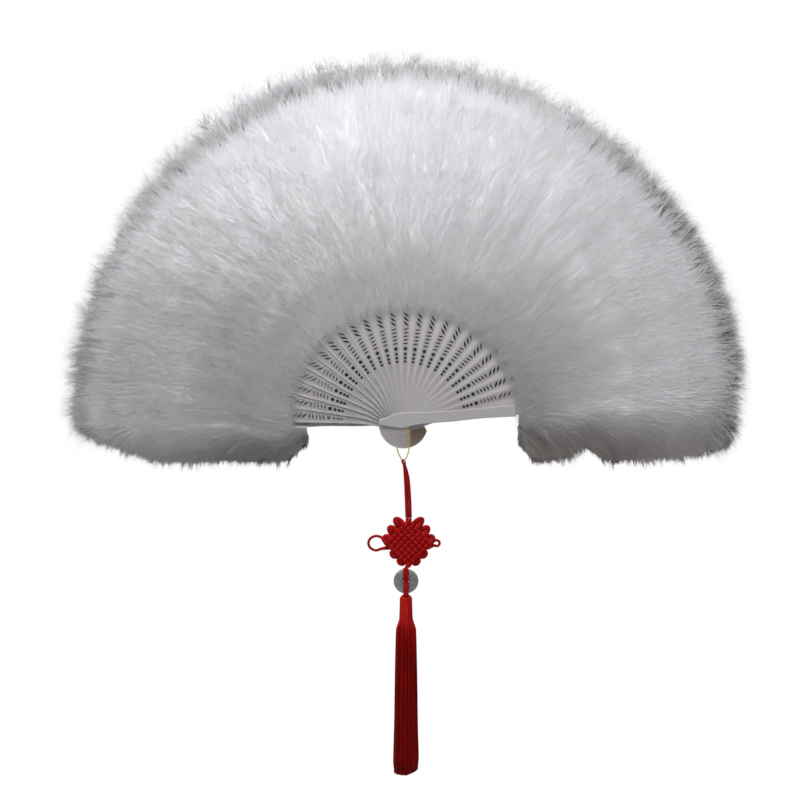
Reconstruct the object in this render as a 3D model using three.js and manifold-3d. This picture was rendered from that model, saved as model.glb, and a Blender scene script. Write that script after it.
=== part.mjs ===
// A feather folding fan, open, with a knotted cord and tassel on a wire bail.
// Millimetres. X runs to the right of someone facing the fan, Y runs away from them, Z is up.
// The origin is the point where the pivot's axis meets the front guard's outer face.

import * as THREE from 'three';
import { mergeVertices } from 'three/addons/utils/BufferGeometryUtils.js';
import Module from 'manifold-3d';

const wasm = await Module();
wasm.setup();

// Clearances
const RUNNING_GAP = 0.3; // between pieces that turn or slide on one another
const LAYER_GAP = 0.2; // between one stick and the next
const PLUME_GAP = 0.5; // between the sides of neighbouring plumes

// The set of sticks
const INNER_STICKS = 23;
const FRONT_GUARD_ANGLE = 6.0; // degrees above the horizontal, on the right
const PITCH_ANGLE = 7.25; // degrees from one stick to the next
const STICK_THICKNESS = 0.8;
const GUARD_THICKNESS = 2.4;

// An inner stick, from its tail to the tongue that carries the plume
const TAIL_LENGTH = 18.5;
const TAIL_HALF_WIDTH = 5.2;
const TAIL_BEND = 5.4; // how far the tail's end is bent across
const HUB_HALF_WIDTH = 6.3;
const NECK_RADIUS = 29;
const NECK_HALF_WIDTH = 3.9;
const BLADE_START = 46;
const BLADE_END = 94;
const BLADE_HALF_ANGLE = 6.45; // degrees each side of the stick's own line
const SHOULDER_LENGTH = 2.6;
const TONGUE_HALF_WIDTH = 2.2;
const TONGUE_TIP_HALF_WIDTH = 1.1;
const TONGUE_END = 190;

// The pierced column, which lies to one side so that it shows between two blades
const COLUMN_ANGLE = 2.75; // degrees from the stick's own line
const DOT_RADII = [46.9, 49.6, 52.6, 56.5]; // distances from the pivot
const DOT_HOLE_RADII = [0.9, 0.95, 1.0, 1.4];
const CUT_START = 60.4;
const CUT_STEP = 2.7;
const CUT_COUNT = 5;
const CUT_LENGTH = 5.0;
const CUT_WIDTH = 1.35;
const CUT_LEAN = 100; // degrees from the column's own line
const LEAF_START = 75.2;
const LEAF_STEP = 3.4;
const LEAF_COUNT = 3;
const LEAF_LENGTH = 6.8;
const LEAF_WIDTH = 1.8;
const LEAF_LEAN = 47;
const DROP_RADIUS = 88.6;
const DROP_LENGTH = 3.4;
const DROP_WIDTH = 2.2;

// A guard, whose foot is cranked towards the fan
const GUARD_TAIL = 17.2;
const GUARD_LUG = 3.0; // from the pivot to the outer edge
const GUARD_FOOT_WIDTH = 8.2; // from the pivot to the inner edge
const GUARD_TIP_WIDTH = 3.2; // height of the blunt tail end
const GUARD_TIP_RISE = 1.3; // how far the tail's end is bent up from the guard's own line
const GUARD_BAND_OUTER = 3.1;
const GUARD_BAND_INNER = 5.9;
const REAR_GUARD_INNER = 10.4; // the rear guard is broader and backs the last stick's column
const GUARD_WAIST_OUTER = 1.5;
const GUARD_BULGE_OUTER = 1.9;
const GRIP_END = 84; // the full thickness ends here, ahead of the plume
const GUARD_TONGUE_THICKNESS = 1.2;
const GUARD_EDGE = 0.35; // bevel

// The pivot
const PIN_RADIUS = 1.3;
const PIN_SIDES = 12;
const RIVET_HEAD_RADIUS = 2.1;
const RIVET_HEAD_THICKNESS = 0.8;
const SOCKET_FLOOR = 0.8; // what is left of the front guard ahead of the pin

// The plumes
const PLUME_BASE = 100.5;
const PLUME_RADIUS_SIDE = 253; // at the horizontal
const PLUME_RADIUS_TOP = 270; // straight up
const PLUME_HALF_THICKNESS = 12;
const FRONT_LOBE_START = 86; // the guards' plumes start nearer the pivot, under the guards
const REAR_LOBE_START = 73;
const FRONT_LOBE_DROP = 28; // how far the right guard's down hangs under the pivot
const REAR_LOBE_DROP = 30.5;
const LOBE_ROUNDING = 26; // length over which a lobe's inner lower corner is rounded
const LOBE_CLEARANCE = 0.9; // between a guard's edge and the lobe under it
const POCKET_OVERRUN = 1; // how far the slot's cutter stands out of the plume

// The thread that links the tongues
const THREAD_RADIUS = 0.25;
const THREAD_DISTANCE = 98.4;

// The wire bail
const WIRE_RADIUS = 0.55;
const BAIL_DEPTH = 28.2; // from the pivot to the wire's lowest line
const BAIL_FRONT_REACH = 4.1; // how far right the front leg stands
const BAIL_REAR_REACH = 4.8; // how far left the rear leg stands

// The cord, knot, ring and tassel
const CORD_RADIUS = 1.15;
const CORD_GAP = 0.3;
const KNOT_JOIN_GAP = 0.8;
// The straight stub at each of the knot's two upper ends, which keeps the end level
const KNOT_STUB = 0.7;
const KNOT_TOP = 70.4; // below the pivot
const KNOT_OFFSET = 3.9; // to the right of the pivot
const KNOT_LINES = 7; // each way, an odd number
const KNOT_PITCH = 3.75; // from one line to the next
const LEFT_EAR = 12;
const RIGHT_EAR = 5;
const UPPER_BIGHTS = [6.9, 5.6, 3.2]; // how far each stands out of the square's upper edges
const LOWER_BIGHT = 2.4;
const RING_RADIUS = 9.3;
const RING_THICKNESS = 4.4;
const RING_OFFSET = 1.9;
const TASSEL_HEAD_RADIUS = 4.4;
const TASSEL_HEAD_LENGTH = 16.5;
const SKIRT_TOP_RADIUS = 4.8;
const SKIRT_SHOULDER_RADIUS = 7.7;
const SKIRT_SHOULDER_DROP = 10.5;
const SKIRT_HEM_RADIUS = 10.0;
const SKIRT_LENGTH = 115;
const SKIRT_SLANT = 6; // how much higher the hem is on the right
const SKIRT_FLUTES = 12;
const FLUTE_DEPTH = 0.06; // share of the skirt's radius

// Where each layer lies, front to rear
const guardFrontFace = 0;
const frontWireY = GUARD_THICKNESS + RUNNING_GAP + WIRE_RADIUS;
const firstStickFace = frontWireY + WIRE_RADIUS + RUNNING_GAP;
const layerPitch = STICK_THICKNESS + LAYER_GAP;
const lastStickBack = firstStickFace + INNER_STICKS * layerPitch - LAYER_GAP;
const rearWireY = lastStickBack + RUNNING_GAP + WIRE_RADIUS;
const rearGuardFace = rearWireY + WIRE_RADIUS + RUNNING_GAP;
const rearGuardBack = rearGuardFace + GUARD_THICKNESS;
const middleY = (frontWireY + rearWireY) / 2;
const holeRadius = PIN_RADIUS + RUNNING_GAP;
const rearGuardIndex = INNER_STICKS + 1;

const radians = THREE.MathUtils.degToRad;
const toAngle = (height, distance) => THREE.MathUtils.radToDeg(Math.asin(height / distance));
const stickAngle = (index) => FRONT_GUARD_ANGLE + index * PITCH_ANGLE;
const stickFace = (index) => firstStickFace + (index - 1) * layerPitch;

const fan = new THREE.Group();

// Solids and meshes

function toSolid(geometry) {
  const bare = geometry.clone();
  bare.deleteAttribute('normal');
  bare.deleteAttribute('uv');
  const merged = mergeVertices(bare, 1e-5);
  return new wasm.Manifold(new wasm.Mesh({
    numProp: 3,
    vertProperties: new Float32Array(merged.attributes.position.array),
    triVerts: new Uint32Array(merged.index.array),
  }));
}

function toGeometry(solid) {
  const mesh = solid.getMesh();
  const geometry = new THREE.BufferGeometry();
  geometry.setAttribute('position', new THREE.BufferAttribute(mesh.vertProperties, 3));
  geometry.setIndex(new THREE.BufferAttribute(mesh.triVerts, 1));
  geometry.computeVertexNormals();
  return geometry;
}

function finish(colour, roughness, metalness = 0) {
  return new THREE.MeshStandardMaterial({ color: colour, roughness, metalness });
}

const plastic = () => finish(0xd9d6d8, 0.45);
const down = () => finish(0xd3d2d6, 0.95);
const brass = () => finish(0xb59a6a, 0.3, 0.9);
const redCord = () => finish(0x8f0f0c, 0.7);
const ringStone = () => finish(0x8d918d, 0.25);

function add(name, geometry, material, parent = fan) {
  const mesh = new THREE.Mesh(geometry, material);
  mesh.name = name;
  parent.add(mesh);
  return mesh;
}

// A plate drawn in the plane of the fan, x outwards along the stick and y across it,
// becomes a solid that starts at y = 0 and runs to the rear by its thickness.
function plate(shape, thickness, options = {}) {
  const geometry = new THREE.ExtrudeGeometry(shape, {
    depth: thickness,
    bevelEnabled: false,
    curveSegments: 6,
    ...options,
  });
  geometry.rotateX(Math.PI / 2);
  geometry.translate(0, thickness, 0);
  return geometry;
}

// Turns a mesh about the pivot from the horizontal to a stick's angle
function turnTo(mesh, degrees, y) {
  mesh.rotation.y = -radians(degrees);
  mesh.position.y = y;
  return mesh;
}

// A round bar along a list of points; the section is carried along without twist
function sweep(points, radius, sides) {
  const last = points.length - 1;
  const tangents = points.map((point, i) => {
    const before = points[Math.max(i - 1, 0)];
    const after = points[Math.min(i + 1, last)];
    return after.clone().sub(before).normalize();
  });
  const start = Math.abs(tangents[0].y) < 0.9 ? new THREE.Vector3(0, 1, 0) : new THREE.Vector3(1, 0, 0);
  let normal = start.sub(tangents[0].clone().multiplyScalar(start.dot(tangents[0]))).normalize();
  const vertices = [];
  points.forEach((point, i) => {
    normal = normal.clone().sub(tangents[i].clone().multiplyScalar(normal.dot(tangents[i]))).normalize();
    const binormal = tangents[i].clone().cross(normal);
    for (let side = 0; side < sides; side += 1) {
      const turn = (2 * Math.PI * side) / sides;
      const across = normal.clone().multiplyScalar(radius * Math.cos(turn));
      const along = binormal.clone().multiplyScalar(radius * Math.sin(turn));
      vertices.push(point.clone().add(across).add(along));
    }
  });
  return ringsToGeometry(vertices, sides);
}

// Joins rings of equal numbers of points into a closed skin with flat ends
function ringsToGeometry(vertices, sides) {
  const rings = vertices.length / sides;
  const faces = [];
  for (let ring = 0; ring < rings - 1; ring += 1) {
    for (let side = 0; side < sides; side += 1) {
      const a = ring * sides + side;
      const b = ring * sides + ((side + 1) % sides);
      faces.push(a, b, b + sides, a, b + sides, a + sides);
    }
  }
  const end = (rings - 1) * sides;
  for (let side = 1; side < sides - 1; side += 1) {
    faces.push(0, side + 1, side);
    faces.push(end, end + side, end + side + 1);
  }
  const geometry = new THREE.BufferGeometry();
  geometry.setAttribute('position', new THREE.Float32BufferAttribute(vertices.flatMap((v) => [v.x, v.y, v.z]), 3));
  geometry.setIndex(faces);
  geometry.computeVertexNormals();
  return geometry;
}

// The inner sticks

// Half of a stick's width along it, from the end of its tail to the tip of its tongue
function stickHalfWidths() {
  const bladeSlope = Math.tan(radians(BLADE_HALF_ANGLE));
  const foot = new THREE.SplineCurve([
    new THREE.Vector2(-TAIL_LENGTH, 0.45 * TAIL_HALF_WIDTH),
    new THREE.Vector2(-0.72 * TAIL_LENGTH, TAIL_HALF_WIDTH),
    new THREE.Vector2(0, HUB_HALF_WIDTH),
    new THREE.Vector2(0.62 * NECK_RADIUS, 0.3 * HUB_HALF_WIDTH + 0.7 * NECK_HALF_WIDTH),
    new THREE.Vector2(NECK_RADIUS, NECK_HALF_WIDTH),
    new THREE.Vector2(BLADE_START, BLADE_START * bladeSlope),
  ]);
  return [
    ...foot.getPoints(8),
    new THREE.Vector2(BLADE_END, BLADE_END * bladeSlope),
    new THREE.Vector2(BLADE_END + 0.45 * SHOULDER_LENGTH, 0.8 * BLADE_END * bladeSlope),
    new THREE.Vector2(BLADE_END + SHOULDER_LENGTH, TONGUE_HALF_WIDTH),
    new THREE.Vector2(TONGUE_END, TONGUE_TIP_HALF_WIDTH),
  ];
}

// A closed outline from the lower side, outwards, and the upper side, back again
function outline(lower, upper) {
  const shape = new THREE.Shape();
  shape.setFromPoints([...lower, ...[...upper].reverse()]);
  return shape;
}

// A point on the pierced column at a distance from the pivot
function onColumn(distance) {
  const turn = radians(COLUMN_ANGLE);
  return new THREE.Vector2(distance * Math.cos(turn), distance * Math.sin(turn));
}

function roundHole(centre, radius, sides) {
  const corners = [];
  for (let i = 0; i < sides; i += 1) {
    const turn = (2 * Math.PI * (i + 0.5)) / sides;
    corners.push(new THREE.Vector2(centre.x + radius * Math.cos(turn), centre.y + radius * Math.sin(turn)));
  }
  return new THREE.Path().setFromPoints(corners);
}

// A pointed slot, whose long way leans from the column's line
function leafHole(distance, length, width, lean) {
  const centre = onColumn(distance);
  const turn = radians(COLUMN_ANGLE + lean);
  const corners = [[length / 2, 0], [0, width / 2], [-length / 2, 0], [0, -width / 2]];
  return new THREE.Path().setFromPoints(corners.map(([along, across]) => new THREE.Vector2(
    centre.x + along * Math.cos(turn) - across * Math.sin(turn),
    centre.y + along * Math.sin(turn) + across * Math.cos(turn),
  )));
}

function stickHoles() {
  const holes = [roundHole(new THREE.Vector2(0, 0), holeRadius / Math.cos(Math.PI / 8), 8)];
  DOT_RADII.forEach((distance, i) => {
    holes.push(roundHole(onColumn(distance), DOT_HOLE_RADII[i], DOT_HOLE_RADII[i] > 1.2 ? 8 : 6));
  });
  for (let i = 0; i < CUT_COUNT; i += 1) {
    holes.push(leafHole(CUT_START + i * CUT_STEP, CUT_LENGTH, CUT_WIDTH, CUT_LEAN));
  }
  for (let i = 0; i < LEAF_COUNT; i += 1) {
    holes.push(leafHole(LEAF_START + i * LEAF_STEP, LEAF_LENGTH, LEAF_WIDTH, LEAF_LEAN));
  }
  holes.push(leafHole(DROP_RADIUS, DROP_LENGTH, DROP_WIDTH, LEAF_LEAN));
  return holes;
}

// One edge of a stick: its half width to one side of a line that bends across in the tail
function stickEdge(side) {
  return stickHalfWidths().map((point) => {
    const bend = point.x < 0 ? TAIL_BEND * (point.x / TAIL_LENGTH) ** 2 : 0;
    const across = bend + side * point.y;
    const tailArc = -Math.sqrt(TAIL_LENGTH ** 2 - Math.min(across ** 2, TAIL_LENGTH ** 2));
    return new THREE.Vector2(Math.max(point.x, tailArc), across);
  });
}

function innerStick() {
  const shape = outline(stickEdge(-1), stickEdge(1));
  shape.holes.push(...stickHoles());
  return plate(shape, STICK_THICKNESS);
}

function addInnerSticks() {
  const geometry = innerStick();
  for (let index = 1; index <= INNER_STICKS; index += 1) {
    const stick = add(`stick_${String(index).padStart(2, '0')}`, geometry, plastic());
    turnTo(stick, stickAngle(index), stickFace(index));
  }
}

// The guards

// The outline of a guard's thick part; its outer edge is the lower one
function guardOutline(innerWidth) {
  const outer = new THREE.SplineCurve([
    new THREE.Vector2(-GUARD_TAIL, GUARD_TIP_RISE),
    new THREE.Vector2(-0.38 * GUARD_TAIL, -0.55 * GUARD_LUG),
    new THREE.Vector2(0, -GUARD_LUG),
    new THREE.Vector2(2.6 * GUARD_LUG, -GUARD_WAIST_OUTER),
    new THREE.Vector2(0.27 * GRIP_END, -GUARD_WAIST_OUTER),
    new THREE.Vector2(0.44 * GRIP_END, -GUARD_BULGE_OUTER),
    new THREE.Vector2(0.68 * GRIP_END, -0.93 * GUARD_BULGE_OUTER),
    new THREE.Vector2(GRIP_END, -GUARD_BAND_OUTER),
  ]).getPoints(18);
  const inner = new THREE.SplineCurve([
    new THREE.Vector2(-GUARD_TAIL, GUARD_TIP_RISE + GUARD_TIP_WIDTH),
    new THREE.Vector2(-0.3 * GUARD_TAIL, GUARD_FOOT_WIDTH + 0.2),
    new THREE.Vector2(0.15 * GUARD_TAIL, GUARD_FOOT_WIDTH),
    new THREE.Vector2(0.25 * GRIP_END, 0.5 * (GUARD_FOOT_WIDTH + innerWidth)),
    new THREE.Vector2(0.57 * GRIP_END, innerWidth),
    new THREE.Vector2(GRIP_END, innerWidth),
  ]).getPoints(12);
  return outline(outer, inner);
}

function guardTongue() {
  const root = GRIP_END - 2;
  const side = [
    new THREE.Vector2(root, TONGUE_HALF_WIDTH),
    new THREE.Vector2(TONGUE_END, TONGUE_TIP_HALF_WIDTH),
  ];
  return outline(side.map((point) => new THREE.Vector2(point.x, -point.y)), side);
}

// The guard as it lies along +X with its outer face at y = 0
function guardBlank(innerWidth) {
  const bevel = { bevelEnabled: true, bevelThickness: GUARD_EDGE, bevelSize: GUARD_EDGE, bevelSegments: 1 };
  const core = GUARD_THICKNESS - 2 * GUARD_EDGE;
  const shape = guardOutline(innerWidth);
  const thick = plate(shape, core, { ...bevel, bevelOffset: -GUARD_EDGE });
  thick.translate(0, GUARD_EDGE, 0);
  const tongue = plate(guardTongue(), GUARD_TONGUE_THICKNESS);
  tongue.translate(0, (GUARD_THICKNESS - GUARD_TONGUE_THICKNESS) / 2, 0);
  return toSolid(thick).add(toSolid(tongue));
}

// A round hole's core, running along Y
function core(radius, from, to) {
  const geometry = new THREE.CylinderGeometry(radius, radius, to - from, PIN_SIDES);
  geometry.translate(0, (from + to) / 2, 0);
  return toSolid(geometry);
}

function addFrontGuard() {
  const socket = core(holeRadius, SOCKET_FLOOR, GUARD_THICKNESS + 1);
  const guard = add('guard_front', toGeometry(guardBlank(GUARD_BAND_INNER).subtract(socket)), plastic());
  turnTo(guard, stickAngle(0), guardFrontFace);
}

// The rear guard is the front one seen in a mirror, bored through and sunk for the rivet's head
function addRearGuard() {
  const blank = guardBlank(REAR_GUARD_INNER).rotate([180, 0, 0]).translate([0, GUARD_THICKNESS, 0]);
  const sinkFloor = GUARD_THICKNESS - RIVET_HEAD_THICKNESS - 0.5;
  const bored = blank
    .subtract(core(holeRadius, -1, GUARD_THICKNESS + 1))
    .subtract(core(RIVET_HEAD_RADIUS + RUNNING_GAP, sinkFloor, GUARD_THICKNESS + 1));
  const guard = add('guard_rear', toGeometry(bored), plastic());
  turnTo(guard, stickAngle(rearGuardIndex), rearGuardFace);
}

// The pin with its peened head, sunk a little below the rear guard's face
function addRivet() {
  const headBack = rearGuardBack - 0.2;
  const headFront = headBack - RIVET_HEAD_THICKNESS;
  const pinFront = SOCKET_FLOOR + RUNNING_GAP;
  const profile = [
    new THREE.Vector2(0, pinFront),
    new THREE.Vector2(PIN_RADIUS, pinFront),
    new THREE.Vector2(PIN_RADIUS, headFront),
    new THREE.Vector2(RIVET_HEAD_RADIUS, headFront),
    new THREE.Vector2(RIVET_HEAD_RADIUS, headBack - 0.3),
    new THREE.Vector2(0.7 * RIVET_HEAD_RADIUS, headBack),
    new THREE.Vector2(0, headBack),
  ];
  add('rivet_pin', new THREE.LatheGeometry(profile, PIN_SIDES), brass());
}

// The plumes

// How far the down reaches from the pivot, at an angle above the horizontal
function plumeReach(degrees) {
  const lift = Math.max(Math.sin(radians(degrees)), 0);
  return PLUME_RADIUS_TOP - (PLUME_RADIUS_TOP - PLUME_RADIUS_SIDE) * (1 - lift) ** 3;
}

// The distances at which a plume's outline is set, each with its share of the full thickness and width
function plumeStations(reach) {
  const along = [0, 0.1, 0.38, 0.72, 0.92, 1];
  const swell = [0.42, 0.75, 1, 0.95, 0.66, 0.25];
  const spread = [0.92, 1, 1, 1, 0.99, 0.84];
  return along.map((share, i) => ({
    distance: THREE.MathUtils.lerp(PLUME_BASE, reach, share), swell: swell[i], spread: spread[i],
  }));
}

// A puffed sector along +X. Its sides lie at the angles low and high, in degrees, at each distance,
// and its thickness swells from the base and thins to a rounded rim.
function plumeSkin(stations, low, high) {
  const sides = 8;
  const vertices = [];
  stations.forEach(({ distance, swell, spread }) => {
    const slack = toAngle(PLUME_GAP, distance) / 2;
    const top = high(distance) - slack;
    const bottom = low(distance) + slack;
    const halfSpread = (spread * (top - bottom)) / 2;
    for (let side = 0; side < sides; side += 1) {
      const turn = (2 * Math.PI * (side + 0.5)) / sides;
      const across = Math.sign(Math.cos(turn)) * Math.min(1, 1.3 * Math.abs(Math.cos(turn)));
      const angle = radians((top + bottom) / 2 + halfSpread * across);
      const y = -PLUME_HALF_THICKNESS * swell * Math.sin(turn);
      vertices.push(new THREE.Vector3(distance * Math.cos(angle), y, distance * Math.sin(angle)));
    }
  });
  return ringsToGeometry(vertices, sides);
}

// The slot in a plume's base that the tongue lies in
function tonguePocket(thickness) {
  const mouth = PLUME_BASE - POCKET_OVERRUN;
  const share = (mouth - GRIP_END) / (TONGUE_END - GRIP_END);
  const mouthWidth = THREE.MathUtils.lerp(TONGUE_HALF_WIDTH, TONGUE_TIP_HALF_WIDTH, share);
  const side = [
    new THREE.Vector2(mouth, mouthWidth + 1.6 * RUNNING_GAP),
    new THREE.Vector2(TONGUE_END + RUNNING_GAP, TONGUE_TIP_HALF_WIDTH + 1.3 * RUNNING_GAP),
  ];
  const shape = outline(side.map((point) => new THREE.Vector2(point.x, -point.y)), side);
  const pocket = plate(shape, thickness + 2 * RUNNING_GAP);
  pocket.translate(0, -thickness / 2 - RUNNING_GAP, 0);
  return toSolid(pocket);
}

function addPlume(index, thickness, middle, skin) {
  const solid = toSolid(skin).subtract(tonguePocket(thickness));
  const plume = add(`plume_${String(index).padStart(2, '0')}`, toGeometry(solid), down());
  turnTo(plume, stickAngle(index), middle);
}

// A guard's plume also hangs down as a lobe: a level lower edge, a rounded inner corner, and under the
// guard's own edge a part that starts nearer the pivot. Side is -1 where the lobe lies clockwise.
function lobedSkin(index, side, start, drop) {
  const half = PITCH_ANGLE / 2;
  const level = side < 0 ? stickAngle(index) : 180 - stickAngle(index);
  const fall = (distance) => {
    const rounding = Math.min((distance - start) / LOBE_ROUNDING, 1);
    return drop * (0.45 + 0.55 * Math.sin((Math.PI / 2) * rounding));
  };
  const edge = GUARD_BAND_OUTER + LOBE_CLEARANCE;
  const outer = (distance) => level + toAngle(fall(distance), distance);
  const inner = (distance) => (distance < PLUME_BASE ? toAngle(edge, distance) : -half);
  const collar = [start, start + 0.45 * LOBE_ROUNDING, PLUME_BASE - PLUME_GAP].map((distance, i) => ({
    distance, swell: [0.4, 0.6, 0.7][i], spread: 1,
  }));
  const stations = [...collar, ...plumeStations(plumeReach(stickAngle(index)))];
  if (side < 0) return plumeSkin(stations, (d) => -outer(d), (d) => -inner(d));
  return plumeSkin(stations, inner, outer);
}

function addPlumes() {
  const half = PITCH_ANGLE / 2;
  const frontSkin = lobedSkin(0, -1, FRONT_LOBE_START, FRONT_LOBE_DROP);
  addPlume(0, GUARD_TONGUE_THICKNESS, guardFrontFace + GUARD_THICKNESS / 2, frontSkin);
  for (let index = 1; index <= INNER_STICKS; index += 1) {
    const skin = plumeSkin(plumeStations(plumeReach(stickAngle(index))), () => -half, () => half);
    addPlume(index, STICK_THICKNESS, stickFace(index) + STICK_THICKNESS / 2, skin);
  }
  const rearSkin = lobedSkin(rearGuardIndex, 1, REAR_LOBE_START, REAR_LOBE_DROP);
  addPlume(rearGuardIndex, GUARD_TONGUE_THICKNESS, rearGuardFace + GUARD_THICKNESS / 2, rearSkin);
}

// The thread runs behind the tongues, and ahead of the rear guard's
function addThread() {
  const stand = RUNNING_GAP + THREAD_RADIUS;
  const points = [];
  const place = (degrees, y) => {
    const turn = radians(degrees);
    points.push(new THREE.Vector3(THREAD_DISTANCE * Math.cos(turn), y, THREAD_DISTANCE * Math.sin(turn)));
  };
  place(stickAngle(0), (GUARD_THICKNESS + GUARD_TONGUE_THICKNESS) / 2 + stand);
  for (let index = 1; index <= INNER_STICKS; index += 1) {
    place(stickAngle(index - 0.25), stickFace(index) + STICK_THICKNESS + stand);
    place(stickAngle(index + 0.25), stickFace(index) + STICK_THICKNESS + stand);
  }
  place(stickAngle(rearGuardIndex), rearGuardFace + (GUARD_THICKNESS - GUARD_TONGUE_THICKNESS) / 2 - stand);
  add('linking_thread', sweep(points, THREAD_RADIUS, 3), finish(0xe6e4e2, 0.8));
}

// The wire bail: an eye on the pin, a leg down the front, the loop under the tails, and the same behind

function eye(y, fromDegrees, toDegrees) {
  const radius = PIN_RADIUS + RUNNING_GAP + WIRE_RADIUS;
  const points = [];
  const steps = 9;
  for (let i = 0; i <= steps; i += 1) {
    const turn = radians(fromDegrees + ((toDegrees - fromDegrees) * i) / steps);
    points.push(new THREE.Vector3(radius * Math.cos(turn), y, radius * Math.sin(turn)));
  }
  return points;
}

function addBail() {
  const tailClear = TAIL_LENGTH + 2 * RUNNING_GAP + WIRE_RADIUS;
  const lift = BAIL_DEPTH - tailClear;
  const drop = new THREE.CatmullRomCurve3([
    new THREE.Vector3(0.93 * BAIL_FRONT_REACH, frontWireY, -0.2 * BAIL_DEPTH),
    new THREE.Vector3(BAIL_FRONT_REACH, frontWireY, -0.48 * BAIL_DEPTH),
    new THREE.Vector3(0.95 * BAIL_FRONT_REACH, frontWireY, -tailClear),
    new THREE.Vector3(0.55 * BAIL_FRONT_REACH, frontWireY + 0.8 * lift, -BAIL_DEPTH + 0.4 * lift),
    new THREE.Vector3(0, middleY, -BAIL_DEPTH),
    new THREE.Vector3(-0.5 * BAIL_REAR_REACH, rearWireY - 0.8 * lift, -BAIL_DEPTH + 0.4 * lift),
    new THREE.Vector3(-0.95 * BAIL_REAR_REACH, rearWireY, -tailClear),
    new THREE.Vector3(-BAIL_REAR_REACH, rearWireY, -0.48 * BAIL_DEPTH),
    new THREE.Vector3(-0.85 * BAIL_REAR_REACH, rearWireY, -0.2 * BAIL_DEPTH),
  ]);
  const points = [...eye(frontWireY, 285, 0), ...drop.getPoints(26), ...eye(rearWireY, 180, -105)];
  add('bail', sweep(points, WIRE_RADIUS, 6), brass());
}

// The doubled cord over the wire, from which the knot hangs

const cordSpread = CORD_RADIUS + CORD_GAP / 2;
const hairpinRadius = WIRE_RADIUS + RUNNING_GAP + CORD_RADIUS;

function addHangingCord() {
  const under = BAIL_DEPTH + 1.2 * hairpinRadius;
  const leg = (side) => [[1, 1], [0.86, 0.62], [0.66, 0.3], [0.42, 0.12]].map(([share, drop]) => (
    new THREE.Vector3(share * KNOT_OFFSET + side * cordSpread, middleY, THREE.MathUtils.lerp(-under, -KNOT_TOP, drop))));
  const bend = [new THREE.Vector3(-hairpinRadius, middleY, -BAIL_DEPTH - 0.3 * hairpinRadius)];
  for (let turn = 180; turn >= 0; turn -= 30) {
    const angle = radians(turn);
    bend.push(new THREE.Vector3(
      hairpinRadius * Math.cos(angle), middleY, -BAIL_DEPTH + hairpinRadius * Math.sin(angle)));
  }
  bend.push(new THREE.Vector3(hairpinRadius, middleY, -BAIL_DEPTH - 0.3 * hairpinRadius));
  add('hanging_cord', sweep([...leg(-1), ...bend, ...leg(1).reverse()], CORD_RADIUS, 8), redCord());
}

// The knot: two cords laid to and fro across a square that stands on its corner, over and under in turn

const weave = CORD_RADIUS + CORD_GAP / 2;
const matReach = ((KNOT_LINES - 1) / 2) * KNOT_PITCH;
const knotCentre = -KNOT_TOP - KNOT_JOIN_GAP - KNOT_STUB - Math.SQRT2 * (matReach + 0.3 * KNOT_PITCH);

// A point of the square; one cord runs along `first`, the other along `second`
function onMat(first, second, height) {
  const x = KNOT_OFFSET + (first - second) / Math.SQRT2;
  const z = knotCentre - (first + second) / Math.SQRT2;
  return new THREE.Vector3(x, middleY + height, z);
}

// An ear: a rounded loop beside the square's right or left corner, from its upper to its lower side
function earLoop(side, size) {
  const corner = KNOT_OFFSET + side * (Math.SQRT2 * matReach + 0.6 * KNOT_PITCH);
  return [50, 95, 140, 180, 220, 265, 310].map((degrees) => {
    const turn = radians(degrees);
    const out = 0.5 * size * (1 - Math.cos(turn));
    return new THREE.Vector3(corner + side * out, middleY, knotCentre + 0.45 * size * Math.sin(turn));
  });
}

// One of the two cords: lines to and fro, with a bight at each edge. The first bight of the cord
// that starts to the left is drawn out into the right ear, and the other's into the left ear.
function knotCord(side, ear) {
  const place = (along, across, height) => (
    side > 0 ? onMat(along, across, height) : onMat(across, along, -height));
  const points = [];
  for (let line = 0; line < KNOT_LINES; line += 1) {
    const across = -matReach + line * KNOT_PITCH;
    const way = line % 2 === 0 ? 1 : -1;
    for (let crossing = 0; crossing < KNOT_LINES; crossing += 1) {
      const along = way * (-matReach + crossing * KNOT_PITCH);
      const height = weave * ((line + crossing) % 2 === 0 ? 1 : -1);
      points.push(place(along - way * 0.2 * KNOT_PITCH, across, height));
      points.push(place(along + way * 0.2 * KNOT_PITCH, across, height));
    }
    if (line === 0) points.push(...earLoop(side, ear));
    else if (line < KNOT_LINES - 1) {
      const reach = line % 2 === 0 ? LOWER_BIGHT : UPPER_BIGHTS[(line - 1) / 2];
      const edge = way * (matReach + 0.35 * KNOT_PITCH);
      const flare = 0.08 * reach;
      points.push(place(edge + way * 0.62 * reach, across - flare, 0));
      points.push(place(edge + way * reach, across + 0.5 * KNOT_PITCH, 0));
      points.push(place(edge + way * 0.62 * reach, across + KNOT_PITCH + flare, 0));
    }
  }
  return points;
}

const ringCentre = knotCentre - Math.SQRT2 * (matReach + 0.6 * KNOT_PITCH) - RING_RADIUS;
const ringHoleRadius = 2 * CORD_RADIUS + CORD_GAP / 2 + 0.8 * RUNNING_GAP;
const ringStand = RING_THICKNESS / 2 + RUNNING_GAP + CORD_RADIUS;

// A bight through the ring: down the rear face, through the hole and up the front, or the other way up
function bightThroughRing(way) {
  const inHole = ringCentre + way * cordSpread;
  const half = (side) => [
    new THREE.Vector3(RING_OFFSET, middleY + side * ringStand, ringCentre + way * (RING_RADIUS + 0.2 * CORD_RADIUS)),
    new THREE.Vector3(RING_OFFSET, middleY + side * ringStand, ringCentre + way * (ringHoleRadius + 3.2)),
    new THREE.Vector3(RING_OFFSET, middleY + side * 0.9 * ringStand, ringCentre + way * (ringHoleRadius + 0.2)),
    new THREE.Vector3(RING_OFFSET, middleY + side * 0.55 * ringStand, inHole + way * 0.12),
  ];
  return [...half(1), ...half(-1).reverse()];
}

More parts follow.
